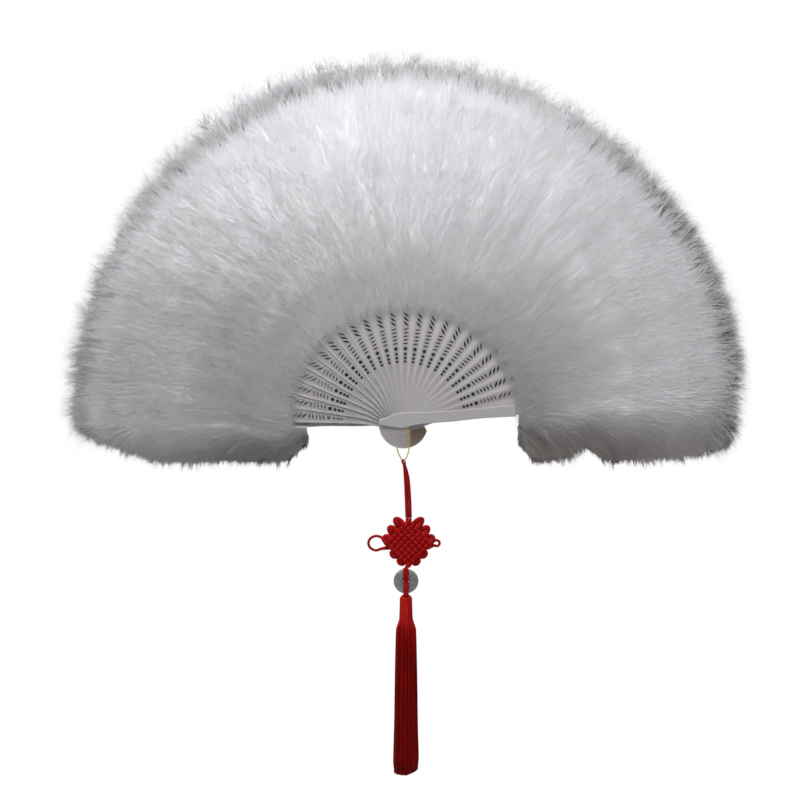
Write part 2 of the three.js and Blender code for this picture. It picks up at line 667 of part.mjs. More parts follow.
function addKnot() {
  const fromLeft = knotCord(1, RIGHT_EAR);
  const fromRight = knotCord(-1, LEFT_EAR);
  const entry = (side, depth) => new THREE.Vector3(
    KNOT_OFFSET + side * cordSpread, middleY, -KNOT_TOP - KNOT_JOIN_GAP - depth);
  const path = [
    entry(-1, 0), entry(-1, KNOT_STUB), ...fromLeft, ...bightThroughRing(1),
    ...fromRight.reverse(), entry(1, KNOT_STUB), entry(1, 0),
  ];
  add('knot', sweep(path, CORD_RADIUS, 6), redCord());
}

function addRing() {
  const half = RING_THICKNESS / 2;
  const edge = 0.3 * RING_THICKNESS;
  const profile = [
    new THREE.Vector2(ringHoleRadius, -half + edge),
    new THREE.Vector2(ringHoleRadius + edge, -half),
    new THREE.Vector2(RING_RADIUS - edge, -half),
    new THREE.Vector2(RING_RADIUS, -half + edge),
    new THREE.Vector2(RING_RADIUS, half - edge),
    new THREE.Vector2(RING_RADIUS - edge, half),
    new THREE.Vector2(ringHoleRadius + edge, half),
    new THREE.Vector2(ringHoleRadius, half - edge),
    new THREE.Vector2(ringHoleRadius, -half + edge),
  ];
  const ring = add('ring', new THREE.LatheGeometry(profile, 20), ringStone());
  ring.position.set(RING_OFFSET, middleY, ringCentre);
}

// The tassel: its own cord through the ring, the wrapped head and the fluted skirt of threads

const headTop = ringCentre - RING_RADIUS - 1.2 * CORD_RADIUS;

function addTasselLoop() {
  const foot = (side) => new THREE.Vector3(RING_OFFSET, middleY + side * ringStand, headTop + RUNNING_GAP);
  add('tassel_loop', sweep([foot(1), ...bightThroughRing(-1), foot(-1)], CORD_RADIUS, 6), redCord());
}

function addTasselHead() {
  const lengths = [0, 0, 0.06, 0.16, 0.3, 0.5, 0.72, 0.8, 0.88, 1, 1];
  const widths = [0, 0.8, 0.94, 1, 1, 1, 0.97, 0.86, 0.86, 1.06, 0];
  const profile = lengths.map((share, i) => (
    new THREE.Vector2(widths[i] * TASSEL_HEAD_RADIUS, share * TASSEL_HEAD_LENGTH)));
  const geometry = new THREE.LatheGeometry(profile, 12);
  geometry.rotateX(-Math.PI / 2);
  const head = add('tassel_head', geometry, redCord());
  head.position.set(RING_OFFSET, middleY, headTop);
}

function addTasselSkirt() {
  const top = headTop - TASSEL_HEAD_LENGTH - RUNNING_GAP;
  const drops = [0, 0.45 * SKIRT_SHOULDER_DROP, SKIRT_SHOULDER_DROP, 0.5 * SKIRT_LENGTH, SKIRT_LENGTH];
  const middleRadius = 0.35 * SKIRT_SHOULDER_RADIUS + 0.65 * SKIRT_HEM_RADIUS;
  const radii = [
    SKIRT_TOP_RADIUS, 0.4 * SKIRT_TOP_RADIUS + 0.6 * SKIRT_SHOULDER_RADIUS,
    SKIRT_SHOULDER_RADIUS, middleRadius, SKIRT_HEM_RADIUS,
  ];
  const sides = 2 * SKIRT_FLUTES;
  const vertices = [];
  drops.forEach((drop, i) => {
    for (let side = 0; side < sides; side += 1) {
      const turn = (-2 * Math.PI * side) / sides;
      const flute = side % 2 === 0 ? 1 : 1 - FLUTE_DEPTH;
      const radius = radii[i] * flute;
      const slant = (SKIRT_SLANT * drop * Math.cos(turn)) / (2 * SKIRT_LENGTH);
      vertices.push(new THREE.Vector3(
        RING_OFFSET + radius * Math.cos(turn), middleY + radius * Math.sin(turn), top - drop + slant));
    }
  });
  add('tassel_skirt', ringsToGeometry(vertices, sides), redCord());
}

addFrontGuard();
addInnerSticks();
addRearGuard();
addRivet();
addPlumes();
addThread();
addBail();
addHangingCord();
addKnot();
addRing();
addTasselLoop();
addTasselHead();
addTasselSkirt();

export default fan;
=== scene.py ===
"""Feather folding fan with a doubled red cord, a woven knot, a stone ring and a tassel.

The row frame is in metres: +X to the right, +Y to the rear, +Z up, with the pivot's axis along +Y
through the origin. The fan is open at rest. Lengths below are given in millimetres times MM.
"""

import math

import bpy
import numpy as np
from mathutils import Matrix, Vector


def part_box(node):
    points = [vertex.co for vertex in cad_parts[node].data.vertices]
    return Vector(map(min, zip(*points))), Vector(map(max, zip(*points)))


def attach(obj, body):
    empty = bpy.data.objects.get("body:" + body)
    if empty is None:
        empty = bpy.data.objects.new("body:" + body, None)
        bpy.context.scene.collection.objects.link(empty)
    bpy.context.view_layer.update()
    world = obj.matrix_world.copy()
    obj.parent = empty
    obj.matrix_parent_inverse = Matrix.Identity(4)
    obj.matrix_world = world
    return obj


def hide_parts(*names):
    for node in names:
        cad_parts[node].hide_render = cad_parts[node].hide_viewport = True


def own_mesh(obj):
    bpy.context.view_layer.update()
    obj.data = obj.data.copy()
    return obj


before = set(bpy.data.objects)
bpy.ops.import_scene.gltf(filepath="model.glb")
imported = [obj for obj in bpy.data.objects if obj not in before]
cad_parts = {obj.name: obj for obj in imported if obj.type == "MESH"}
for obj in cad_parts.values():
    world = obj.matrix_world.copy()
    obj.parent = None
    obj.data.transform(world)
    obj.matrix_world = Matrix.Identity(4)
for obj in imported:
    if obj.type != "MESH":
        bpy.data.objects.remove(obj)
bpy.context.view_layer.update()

MM = 0.001

# ---- the fan's own measures

STICKS = 25
LAST = STICKS - 1  # the rear guard's place
FRONT_GUARD_ANGLE = 6.0
PITCH_ANGLE = 7.25
FIRST_COLUMN_ANGLE = 8.75
COLUMN_DOTS = ((46.9, 1.1), (49.6, 1.15), (52.6, 1.2), (56.5, 1.42))  # distance and hole radius, mm
MIDDLE_Y = 15.5 * MM
BAIL_DEPTH = 28.2 * MM
KNOT_OFFSET = 3.9 * MM
KNOT_TOP = 70.4 * MM
KNOT_LINES = 7
KNOT_PITCH = 3.75 * MM
THREAD_DISTANCE = 98.4 * MM
DOWN_BASE = 100.5 * MM
DOWN_START = 97 * MM
REAR_DOWN_START = 91 * MM
LOBE_START = {0: 86 * MM, LAST: 73 * MM}
DOWN_HALF_THICKNESS = 12 * MM
BODY_INSET = 16 * MM  # from a plume's solid body to its rim
NOTCH_DISTANCE = 137 * MM
DEEPEST_SHADE = 0.84
NECK_RADIUS = 4.5 * MM
FLOOR_Z = -0.30
# the colour painted as shade behind the sticks' holes and round their edges
PAINTED_GAP_SHADE = (0.012, 0.011, 0.013)


def stick_angle(index):
    """The stick's angle above +X in degrees: the front guard's angle plus a pitch for each stick."""
    return FRONT_GUARD_ANGLE + PITCH_ANGLE * index


def layer_y(index):
    """The middle of the stick's layer: one millimetre a stick from front to rear."""
    return {0: 1.2, LAST: 29.8}.get(index, 3.5 + index) * MM


def stick_body(index):
    """The name of the CAD body that stick, plume and thread of this place ride on."""
    return {0: "front", LAST: "rear"}.get(index, "leaf_%02d" % index)


# ---- arrays and meshes


def mesh_piece(name, points, faces, finish, layers=None, lean=None):
    """A piece from an array of points (n, 3) and one or more arrays of faces (m, 3) or (m, 4). `lean`
    is (normals, shares): shading normals for the points, and how far each point takes its own."""
    faces = [np.asarray(part, np.int32) for part in (faces if isinstance(faces, list) else [faces])]
    faces = [part for part in faces if len(part)]
    corners = np.concatenate([part.ravel() for part in faces])
    sizes = np.concatenate([np.full(len(part), part.shape[1], np.int32) for part in faces])
    starts = np.concatenate([[0], np.cumsum(sizes)[:-1]]).astype(np.int32)
    mesh = bpy.data.meshes.new(name)
    mesh.vertices.add(len(points))
    mesh.vertices.foreach_set("co", np.ascontiguousarray(points, np.float32).ravel())
    mesh.loops.add(len(corners))
    mesh.loops.foreach_set("vertex_index", corners)
    mesh.polygons.add(len(sizes))
    mesh.polygons.foreach_set("loop_start", starts)
    mesh.polygons.foreach_set("use_smooth", np.full(len(sizes), True))
    mesh.update(calc_edges=True)
    for layer, values in (layers or {}).items():
        values = np.asarray(values, np.float32)
        if values.ndim == 1:
            mesh.attributes.new(layer, "FLOAT", "POINT").data.foreach_set("value", values)
        else:
            spread = mesh.uv_layers.new(name=layer)
            spread.data.foreach_set("uv", values[corners].ravel())
    mesh.validate()
    if lean is not None:
        normals = np.empty(len(points) * 3, np.float32)
        mesh.vertex_normals.foreach_get("vector", normals)
        normals = unit(normals.reshape(-1, 3) * (1 - lean[1][:, None]) + lean[0] * lean[1][:, None])
        mesh.normals_split_custom_set_from_vertices(normals)
    mesh.materials.append(finish)
    piece = bpy.data.objects.new(name, mesh)
    bpy.context.scene.collection.objects.link(piece)
    return piece


def unit(vectors):
    """Vectors divided by their lengths."""
    return vectors / np.maximum(np.linalg.norm(vectors, axis=-1, keepdims=True), 1e-12)


def xyz(x, y, z):
    """Points from their three parts, each a number or an array."""
    return np.stack(np.broadcast_arrays(x, y, z), axis=-1)


def circle(sides):
    """Angles at even steps round a circle."""
    return 2 * np.pi * np.arange(sides) / sides


def squared(wave, power):
    """A sine wave pressed towards a square one, by a power of its size."""
    return np.sign(wave) * np.abs(wave) ** power


def ease(low, high, value):
    """A smooth step from 0 at low to 1 at high."""
    share = np.clip((value - low) / (high - low), 0, 1)
    return share * share * (3 - 2 * share)


def bell(value, middle, width):
    """A bell curve: 1 in the middle, and 0.37 at a width from it."""
    return np.exp(-((value - middle) / width) ** 2)


def run_along(path):
    """The length run along a path at each of its points."""
    return np.concatenate([[0], np.cumsum(np.linalg.norm(np.diff(path, axis=0), axis=1))])


def smooth_line(controls, count):
    """A Catmull-Rom curve through the control points, at `count` points of even arc length."""
    controls = np.asarray(controls, float)
    padded = np.vstack([2 * controls[0] - controls[1], controls, 2 * controls[-1] - controls[-2]])
    share = np.linspace(0, 1, 24, endpoint=False)[None, :, None]
    a, b, c, d = (padded[i:len(padded) - 3 + i, None, :] for i in range(4))
    curve = 0.5 * (2 * b + (c - a) * share + (2 * a - 5 * b + 4 * c - d) * share ** 2
                   + (3 * b - a - 3 * c + d) * share ** 3)
    curve = np.vstack([curve.reshape(-1, 3), controls[-1:]])
    run = run_along(curve)
    marks = np.linspace(0, run[-1], count)
    return np.stack([np.interp(marks, run, curve[:, i]) for i in range(3)], axis=1)


def ring_faces(rings, sides, looped=False):
    """Quads between neighbouring rings of points, and from the last ring back to the first where
    looped, or else a cap of one polygon at each end."""
    ring = np.arange(rings if looped else rings - 1)[:, None] * sides
    ahead = (ring + sides) % (rings * sides)
    side = np.arange(sides)[None, :]
    after = (side + 1) % sides
    quads = np.stack([ring + side, ring + after, ahead + after, ahead + side], axis=-1).reshape(-1, 4)
    return [quads] if looped else [quads, side[:, ::-1], side + (rings - 1) * sides]


def tube(name, path, wide, thick, sides, finish, reference=(0, 1, 0)):
    """A profile carried along a path: an ellipse of half-width `thick` along the reference, as near as
    that is square to the path, and `wide` across it. Its `u` runs round it and its `v` is the arc length
    in metres."""
    tangent = unit(np.gradient(path, axis=0))
    reference = np.broadcast_to(np.asarray(reference, float), path.shape)
    first = unit(reference - tangent * np.sum(reference * tangent, axis=1, keepdims=True))
    second = np.cross(tangent, first)
    wide = np.broadcast_to(wide, len(path))[:, None, None]
    thick = np.broadcast_to(thick, len(path))[:, None, None]
    turn = circle(sides)[None, :, None]
    points = (path[:, None, :] + thick * np.cos(turn) * first[:, None, :]
              + wide * np.sin(turn) * second[:, None, :])
    around, along = np.meshgrid(np.arange(sides) / sides, run_along(path))
    spread = np.stack([around, along], axis=-1).reshape(-1, 2)
    return mesh_piece(name, points.reshape(-1, 3), ring_faces(len(path), sides), finish,
                      layers={"lay": spread})


def spikes(roots, ways, bends, lengths, widths, steps):
    """Closed three-sided spikes. A spike's line is root + way * length * t + bend * t squared, with t
    from 0 at the root to 1 at the tip, and its half-width falls as 1 - t to the power 0.75."""
    count = len(roots)
    share = np.linspace(0, 1, steps + 1)[:-1]
    line = (roots[:, None, :] + ways[:, None, :] * (lengths[:, None] * share)[:, :, None]
            + bends[:, None, :] * (share ** 2)[None, :, None])
    tips = roots + ways * lengths[:, None] + bends
    across = unit(np.cross(ways, np.array([0.31, 0.87, 0.38])))
    other = np.cross(ways, across)
    turn = circle(3)[None, :, None]
    ring = across[:, None, :] * np.cos(turn) + other[:, None, :] * np.sin(turn)
    half = widths[:, None] * (1 - share[None, :]) ** 0.75
    points = line[:, :, None, :] + ring[:, None, :, :] * half[:, :, None, None]
    points = np.concatenate([points.reshape(count, -1, 3), tips[:, None, :]], axis=1)
    per = 3 * steps + 1
    faces = [[2, 1, 0]]
    for step in range(steps - 1):
        for side in range(3):
            low, high = 3 * step + side, 3 * step + (side + 1) % 3
            faces += [[low, high, high + 3], [low, high + 3, low + 3]]
    faces += [[3 * (steps - 1) + side, 3 * (steps - 1) + (side + 1) % 3, per - 1] for side in range(3)]
    triangles = (np.arange(count)[:, None, None] * per + np.array(faces)[None]).reshape(-1, 3)
    along = np.concatenate([np.repeat(share, 3), [1.0]])
    return points.reshape(-1, 3), triangles, np.broadcast_to(along, (count, per))


# ---- nodes


class Nodes:
    """The node tree of a material or world, emptied, with short names for the nodes it needs."""

    def __init__(self, owner):
        owner.use_nodes = True
        self.owner, self.tree = owner, owner.node_tree
        self.tree.nodes.clear()

    def fill(self, node, **inputs):
        """Sets a node's inputs, by name with _ for a space or by number as i0 and so on, to a value, or
        links them to a socket."""
        for key, value in inputs.items():
            socket = node.inputs[int(key[1:]) if key[1:].isdigit() else key.replace("_", " ")]
            if isinstance(value, bpy.types.NodeSocket):
                self.tree.links.new(value, socket)
            else:
                socket.default_value = value
        return node

    def add(self, kind, settings=None, **inputs):
        """A node with its settings and inputs."""
        node = self.tree.nodes.new("ShaderNode" + kind)
        for key, value in (settings or {}).items():
            setattr(node, key, value)
        return self.fill(node, **inputs)

    def ramp(self, factor, *stops):
        """A colour ramp from pairs of a place and a grey or colour."""
        node = self.add("ValToRGB", i0=factor)
        elements = node.color_ramp.elements
        elements.remove(elements[-1])
        for i, (place, colour) in enumerate(stops):
            element = elements.new(place) if i else elements[0]
            element.position = place
            element.color = (*(colour if isinstance(colour, tuple) else (colour,) * 3), 1.0)
        return node.outputs["Color"]

    def math(self, operation, first, second=0.0, third=0.0):
        """One Math node."""
        return self.add("Math", {"operation": operation}, i0=first, i1=second, i2=third).outputs[0]

    def times(self, first, second):
        """A product."""
        return self.math("MULTIPLY", first, second)

    def less(self, first, second):
        """A difference."""
        return self.math("SUBTRACT", first, second)

    def far(self, first, second):
        """The square root of the sum of two squares."""
        return self.math("SQRT", self.math("ADD", self.times(first, first), self.times(second, second)))

    def span(self, value, low, high, to_low=0.0, to_high=1.0):
        """A value from low to high laid onto to_low to to_high, and held at both ends."""
        return self.add("MapRange", Value=value, From_Min=low, From_Max=high,
                        To_Min=to_low, To_Max=to_high).outputs[0]

    def mix(self, factor, first, second, blend="MIX"):
        """A colour mix of two colours or sockets."""
        node = self.add("Mix", {"data_type": "RGBA", "blend_type": blend}, i0=factor)
        for key, value in (("i6", first), ("i7", second)):
            self.fill(node, **{key: (*value, 1.0) if isinstance(value, tuple) else value})
        return node.outputs[2]

    def parts(self, vector):
        """A vector's X, Y and Z."""
        return self.add("SeparateXYZ", Vector=vector).outputs[:]

    def stretched(self, along_z):
        """Object coordinates, stretched along Z."""
        return self.add("Mapping", Vector=self.place, Scale=(1, 1, along_z)).outputs["Vector"]

    def noise(self, vector, scale, detail, roughness=0.55):
        """The value of a noise texture."""
        texture = self.add("TexNoise", Vector=vector, Scale=scale, Detail=detail, Roughness=roughness)
        return texture.outputs["Fac"]

    def bump(self, height, distance, strength):
        """A bump from a height, whose full step is `distance` metres."""
        return self.add("Bump", Height=height, Distance=distance, Strength=strength).outputs["Normal"]

    def seen_white(self, other, kind):
        """A surface or background that the camera sees as plain white, and all other rays as `other`."""
        white = self.add(kind, Color=(1, 1, 1, 1), Strength=1.0).outputs[0]
        seen = self.add("LightPath").outputs["Is Camera Ray"]
        return self.add("MixShader", i0=seen, i1=other, i2=white).outputs[0]

    def surface(self, **inputs):
        """Fills the Principled surface and returns the material."""
        self.fill(self.shader, **inputs)
        return self.owner


def new_finish(name):
    """The nodes of a new material: a Principled surface and Object coordinates to start from."""
    nodes = Nodes(bpy.data.materials.new(name))
    nodes.shader = nodes.add("BsdfPrincipled")
    nodes.output = nodes.add("OutputMaterial", Surface=nodes.shader.outputs["BSDF"])
    nodes.place = nodes.add("TexCoord").outputs["Object"]
    return nodes


# ---- the finishes


def pierced_look(n, colour, y, distance, degrees):
    """What the pierced sticks add. A front face that lies deeper than the front layer at its angle is
    seen only through the holes of the stick before it, so it is painted dark as shade, like the gap
    between them; the painted shade is weaker at both sides and at the holes' far end, where down veils
    it. Along each pierced column the blade is painted darker as shade, and between two columns lighter
    as a painted highlight. Round each round hole a dark ring is painted on its edge as shade."""
    column = n.math("ROUND", n.math("DIVIDE", n.less(degrees, FIRST_COLUMN_ANGLE), PITCH_ANGLE))
    column = n.math("MAXIMUM", column, 1.0)
    deeper = n.less(y, n.math("MULTIPLY_ADD", column, 1.0 * MM, 3.1 * MM))
    facing = n.parts(n.add("TexCoord").outputs["Normal"])[1]
    # Painted shade: front faces hidden behind the stick before them are dark where its holes show them, from
    # 45.5 mm out.
    dark = n.times(n.math("GREATER_THAN", deeper, 0.85 * MM), n.math("LESS_THAN", facing, -0.5))
    dark = n.times(dark, n.math("GREATER_THAN", distance, 45.5 * MM))
    # The painted shade is weaker at the holes' far end and at both sides of the fan, where down veils it.
    dark = n.times(dark, n.span(distance, 91.5 * MM, 87.0 * MM, 0.35))
    veil = n.math("MINIMUM", n.span(degrees, 128.0, 154.0, 1.0, 0.35), n.span(degrees, 12.0, 24.0, 0.45))
    dark = n.times(dark, n.math("MAXIMUM", veil, n.math("LESS_THAN", distance, 58 * MM)))
    colour = n.mix(dark, colour, PAINTED_GAP_SHADE)
    off_line = n.less(degrees, n.math("MULTIPLY_ADD", column, PITCH_ANGLE, FIRST_COLUMN_ANGLE))
    # Painted shade along each pierced column and a painted highlight on the blade between two columns, faded
    # in from 24 to 42 mm out.
    rib_highlight = n.span(n.math("ABSOLUTE", off_line), 1.7, 2.9)
    level = n.mix(rib_highlight, (0.84, 0.84, 0.84), (1.09, 1.09, 1.09))
    colour = n.mix(n.span(distance, 24 * MM, 42 * MM), colour, n.mix(1.0, colour, level, "MULTIPLY"))
    off_line = n.times(n.times(off_line, math.pi / 180), distance)
    for radius, hole in COLUMN_DOTS:
        away = n.far(n.less(distance, radius * MM), off_line)
        # A dark ring painted as shade round the edge of each round hole, except beyond 172 degrees.
        hole_rim_shade = n.span(away, (hole + 0.12) * MM, (hole - 0.12) * MM)
        hole_rim_shade = n.times(hole_rim_shade, n.math("LESS_THAN", degrees, 172.0))
        colour = n.mix(n.times(hole_rim_shade, 0.85), colour, PAINTED_GAP_SHADE)
    return colour


def pale_plastic(pierced):
    """The sticks and guards: pale moulded plastic, glossy, with a faint grain along each stick and soft
    clouding. Below the pivot the tails are painted lighter left of the brass wire as light and brown
    right of it as shadow, with a yellow band painted under the wire."""
    n = new_finish("pale pierced plastic" if pierced else "pale guard plastic")
    x, y, z = n.parts(n.place)
    distance, angle = n.far(x, z), n.math("ARCTAN2", z, x)
    grain_place = n.add("CombineXYZ", X=n.times(distance, 0.12), Y=n.times(angle, 0.9)).outputs[0]
    grain = n.noise(grain_place, 260.0, 4.0, 0.6)
    colour = n.ramp(grain, (0.25, (0.318, 0.304, 0.313)), (0.75, (0.424, 0.410, 0.419)))
    colour = n.mix(n.times(n.noise(n.place, 70.0, 2.0), 0.35), colour, (0.35, 0.327, 0.327))
    if pierced:
        colour = pierced_look(n, colour, y, distance, n.times(angle, 180 / math.pi))
    # Painted shadow below the pivot: right of the wire the tails are brown, darker higher up.
    brown_shade = n.mix(n.span(z, -13.0 * MM, -6.0 * MM), (0.47, 0.365, 0.27), (0.37, 0.265, 0.195))
    # Painted light: left of the wire the tails are much lighter than the plastic.
    tail = n.mix(n.span(x, 2.5 * MM, 6.5 * MM), (0.74, 0.70, 0.71), brown_shade)
    # A yellow band painted on the tails under the brass wire.
    wire_band = n.span(n.math("ABSOLUTE", n.less(x, 4.0 * MM)), 1.6 * MM, 0.7 * MM)
    tail = n.mix(n.times(wire_band, 0.85), tail, (0.88, 0.70, 0.27))
    colour = n.mix(n.times(n.span(z, -3.0 * MM, -4.5 * MM), 0.8), colour, tail)
    return n.surface(Base_Color=colour, Roughness=n.ramp(grain, (0.3, 0.30), (0.8, 0.44)),
                     Subsurface_Weight=0.5, Subsurface_Radius=(2.4 * MM, 2.3 * MM, 2.3 * MM),
                     Subsurface_Scale=1.0, Normal=n.bump(grain, 0.06 * MM, 0.5))


def down_finish():
    """The down: white marabou with soft clouding. The attribute `shade` is painted shade: 0 on the lit
    cloud and 1 deep among the barbs, where the painted shade is a little browner low down and to the right."""
    n = new_finish("white marabou down")
    shade = n.add("Attribute", {"attribute_name": "shade"}).outputs["Fac"]
    x, _, z = n.parts(n.place)
    fine = n.noise(n.place, 900.0, 2.0)
    white = n.ramp(n.noise(n.place, 22.0, 3.0), (0.3, (0.70, 0.69, 0.715)), (0.7, (0.79, 0.78, 0.805)))
    white = n.mix(n.times(fine, 0.10), white, (0.52, 0.52, 0.54))
    # The colour of the painted shade: near black, turning brown low down and to the right.
    brown_shade = n.times(n.span(z, 12 * MM, -18 * MM), n.span(x, -60 * MM, 60 * MM, 0.25))
    deep = n.mix(brown_shade, (0.050, 0.048, 0.051), (0.084, 0.060, 0.050))
    return n.surface(Base_Color=n.mix(shade, white, deep), Roughness=n.ramp(fine, (0.2, 0.78), (0.8, 0.95)),
                     Sheen_Weight=0.25, Sheen_Roughness=0.5, Specular_IOR_Level=0.15,
                     Normal=n.bump(fine, 0.15 * MM, 0.15))


def brass_finish():
    """The wire and pin: drawn brass with a faint drawing grain, small stains and worn bright spots."""
    n = new_finish("drawn brass")
    grain = n.noise(n.stretched(0.15), 2600.0, 3.0)
    colour = n.ramp(n.noise(n.place, 240.0, 4.0), (0.3, (0.62, 0.44, 0.14)), (0.6, (0.90, 0.69, 0.30)),
                    (0.8, (0.98, 0.82, 0.45)))
    return n.surface(Base_Color=colour, Roughness=n.ramp(grain, (0.2, 0.22), (0.8, 0.42)), Metallic=0.7,
                     Normal=n.bump(grain, 0.03 * MM, 0.5))


def cord_finish(name, braid_size, dark, light):
    """Braided silky cord: two sets of slanting ribs round the cord, from its own `lay` map (u round
    the cord, v its length in metres), with the grooves painted darker as shade."""
    n = new_finish(name)
    u, v, _ = n.parts(n.add("UVMap", {"uv_map": "lay"}).outputs["UV"])
    around, along = n.times(u, 4 * math.pi), n.times(v, 2 * math.pi / braid_size)
    one, two = n.math("SINE", n.math("ADD", along, around)), n.math("SINE", n.less(along, around))
    level = n.math("MULTIPLY_ADD", n.math("MAXIMUM", one, two), 0.5, 0.5)
    # Painted shade: the grooves between the braid's ribs are dark, the ribs lighter.
    colour = n.ramp(level, (0.35, dark), (0.95, light))
    colour = n.mix(n.times(n.noise(n.place, 160.0, 3.0), 0.5), colour, dark)
    return n.surface(Base_Color=colour, Roughness=n.ramp(level, (0.2, 0.80), (0.9, 0.55)),
                     Specular_IOR_Level=0.06, Normal=n.bump(level, 0.16 * MM, 0.8))


def thread_finish():
    """The tassel's threads: silky deep red, each a little lighter or darker, and painted brighter towards the
    top as light.
    """
    n = new_finish("deep red silk thread")
    strand = n.noise(n.stretched(0.03), 1500.0, 2.0)
    body = n.ramp(strand, (0.3, (0.12, 0.0016, 0.0012)), (0.7, (0.275, 0.0040, 0.0030)))
    # Painted light: a brighter red for the lit top of the tassel, fading out from 135 to 175 mm below the
    # pivot.
    top = n.ramp(strand, (0.3, (0.25, 0.004, 0.0035)), (0.7, (0.51, 0.011, 0.008)))
    colour = n.mix(n.span(n.parts(n.place)[2], -0.175, -0.135), body, top)
    return n.surface(Base_Color=colour, Roughness=n.ramp(strand, (0.2, 0.48), (0.8, 0.66)),
                     Specular_IOR_Level=0.06, Normal=n.bump(strand, 0.05 * MM, 0.5))


def stone_finish():
    """The ring: polished grey-green stone with cloudy veins."""
    n = new_finish("grey green stone")
    vein = n.noise(n.stretched(2.2), 520.0, 3.0)
    cloudy = n.ramp(n.noise(n.place, 190.0, 4.0), (0.3, (0.145, 0.150, 0.145)), (0.7, (0.225, 0.235, 0.228)))
    colour = n.mix(n.ramp(vein, (0.56, 0.0), (0.7, 0.5)), cloudy, (0.30, 0.32, 0.30))
    return n.surface(Base_Color=colour, Roughness=n.ramp(vein, (0.3, 0.20), (0.8, 0.34)), Coat_Weight=0.3,
                     Normal=n.bump(vein, 0.03 * MM, 0.4))


def floor_finish():
    """The floor: plain pale, and plain white to the camera."""
    n = new_finish("plain pale floor")
    n.surface(Base_Color=n.ramp(n.noise(n.place, 3.0, 2.0), (0.3, 0.80), (0.7, 0.84)), Roughness=0.9)
    n.fill(n.output, Surface=n.seen_white(n.shader.outputs["BSDF"], "Emission"))
    return n.owner


# ---- camera


def set_camera():
    """Straight from the front at the photograph's framing: 0.6 m wide at the fan's middle, 2 m away."""
    data = bpy.data.cameras.new("front camera")
    data.lens = 120.0
    data.sensor_width = 36.0
    camera = bpy.data.objects.new("front camera", data)
    camera.location = (-0.0026, -1.985, 0.018)
    camera.rotation_euler = (math.radians(90), 0, 0)
    bpy.context.scene.collection.objects.link(camera)
    bpy.context.scene.camera = camera


set_camera()

# ---- cord, knot and the cord through the ring

CORD_RED = cord_finish("red braided cord", 1.5 * MM, (0.12, 0.0025, 0.0030), (0.40, 0.0085, 0.0100))
KNOT_RED = cord_finish("red knot cord", 1.3 * MM, (0.095, 0.0015, 0.0016), (0.55, 0.0078, 0.0078))


def solid_box(node):
    """The low and high corners of a CAD node's box."""
    return [np.array(corner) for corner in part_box(node)]


KNOT_REACH = (KNOT_LINES - 1) / 2 * KNOT_PITCH
KNOT_CENTRE = -KNOT_TOP - 1.5 * MM - math.sqrt(2) * (KNOT_REACH + 0.3 * KNOT_PITCH)
ring_low, ring_high = solid_box("ring")
RING_CENTRE = (ring_low + ring_high) / 2
RING_RADIUS = (ring_high[2] - ring_low[2]) / 2
RING_HALF_THICKNESS = (ring_high[1] - ring_low[1]) / 2


def doubled_cord():
    """The cord from the bail to the knot: up one leg, over the wire and down the other leg. The legs
    lie side by side, lean to the right by the same shares as the part's source gives, and are drawn
    tight where they near the wire."""
    shares = np.array([[1, 1], [0.86, 0.62], [0.66, 0.3], [0.42, 0.12], [0.16, 0.0]])
    under = BAIL_DEPTH + 2.4 * MM

    def leg(side):
        height = -under + (under - KNOT_TOP) * shares[:, 1]
        apart = np.array([1.24, 1.24, 1.05, 0.68, 0.55]) * MM
        return xyz(shares[:, 0] * KNOT_OFFSET + side * apart, MIDDLE_Y, height)

    turn = np.radians(np.arange(180, -1, -30))
    bend = xyz(1.05 * MM * np.cos(turn), MIDDLE_Y, -BAIL_DEPTH + 1.25 * MM * np.sin(turn))
    route = smooth_line(np.vstack([leg(-1), bend, leg(1)[::-1]]), 170)
    slim = 1 - 0.46 * bell(route[:, 2], -BAIL_DEPTH, 6.0 * MM)
    piece = tube("doubled_cord", route, 1.24 * MM * slim, 1.2 * MM * slim, 12, CORD_RED)
    line = smooth_line([[0, MIDDLE_Y, -BAIL_DEPTH], *((leg(-1) + leg(1))[::-1] / 2)], 20)
    return piece, line


def on_mat(first, second, height):
    """A point of the knot's square, which stands on its corner; one cord runs along each side."""
    return np.array([KNOT_OFFSET + (first - second) / math.sqrt(2), MIDDLE_Y + height,
                     KNOT_CENTRE - (first + second) / math.sqrt(2)])


def ear_loop(side, size):
    """An ear: a rounded loop beside the square's right or left corner."""
    corner = KNOT_OFFSET + side * (math.sqrt(2) * KNOT_REACH + 0.6 * KNOT_PITCH)
    turn = np.radians([50, 95, 140, 180, 220, 265, 310])
    return xyz(corner + side * 0.5 * size * (1 - np.cos(turn)), MIDDLE_Y,
               KNOT_CENTRE + 0.45 * size * np.sin(turn))


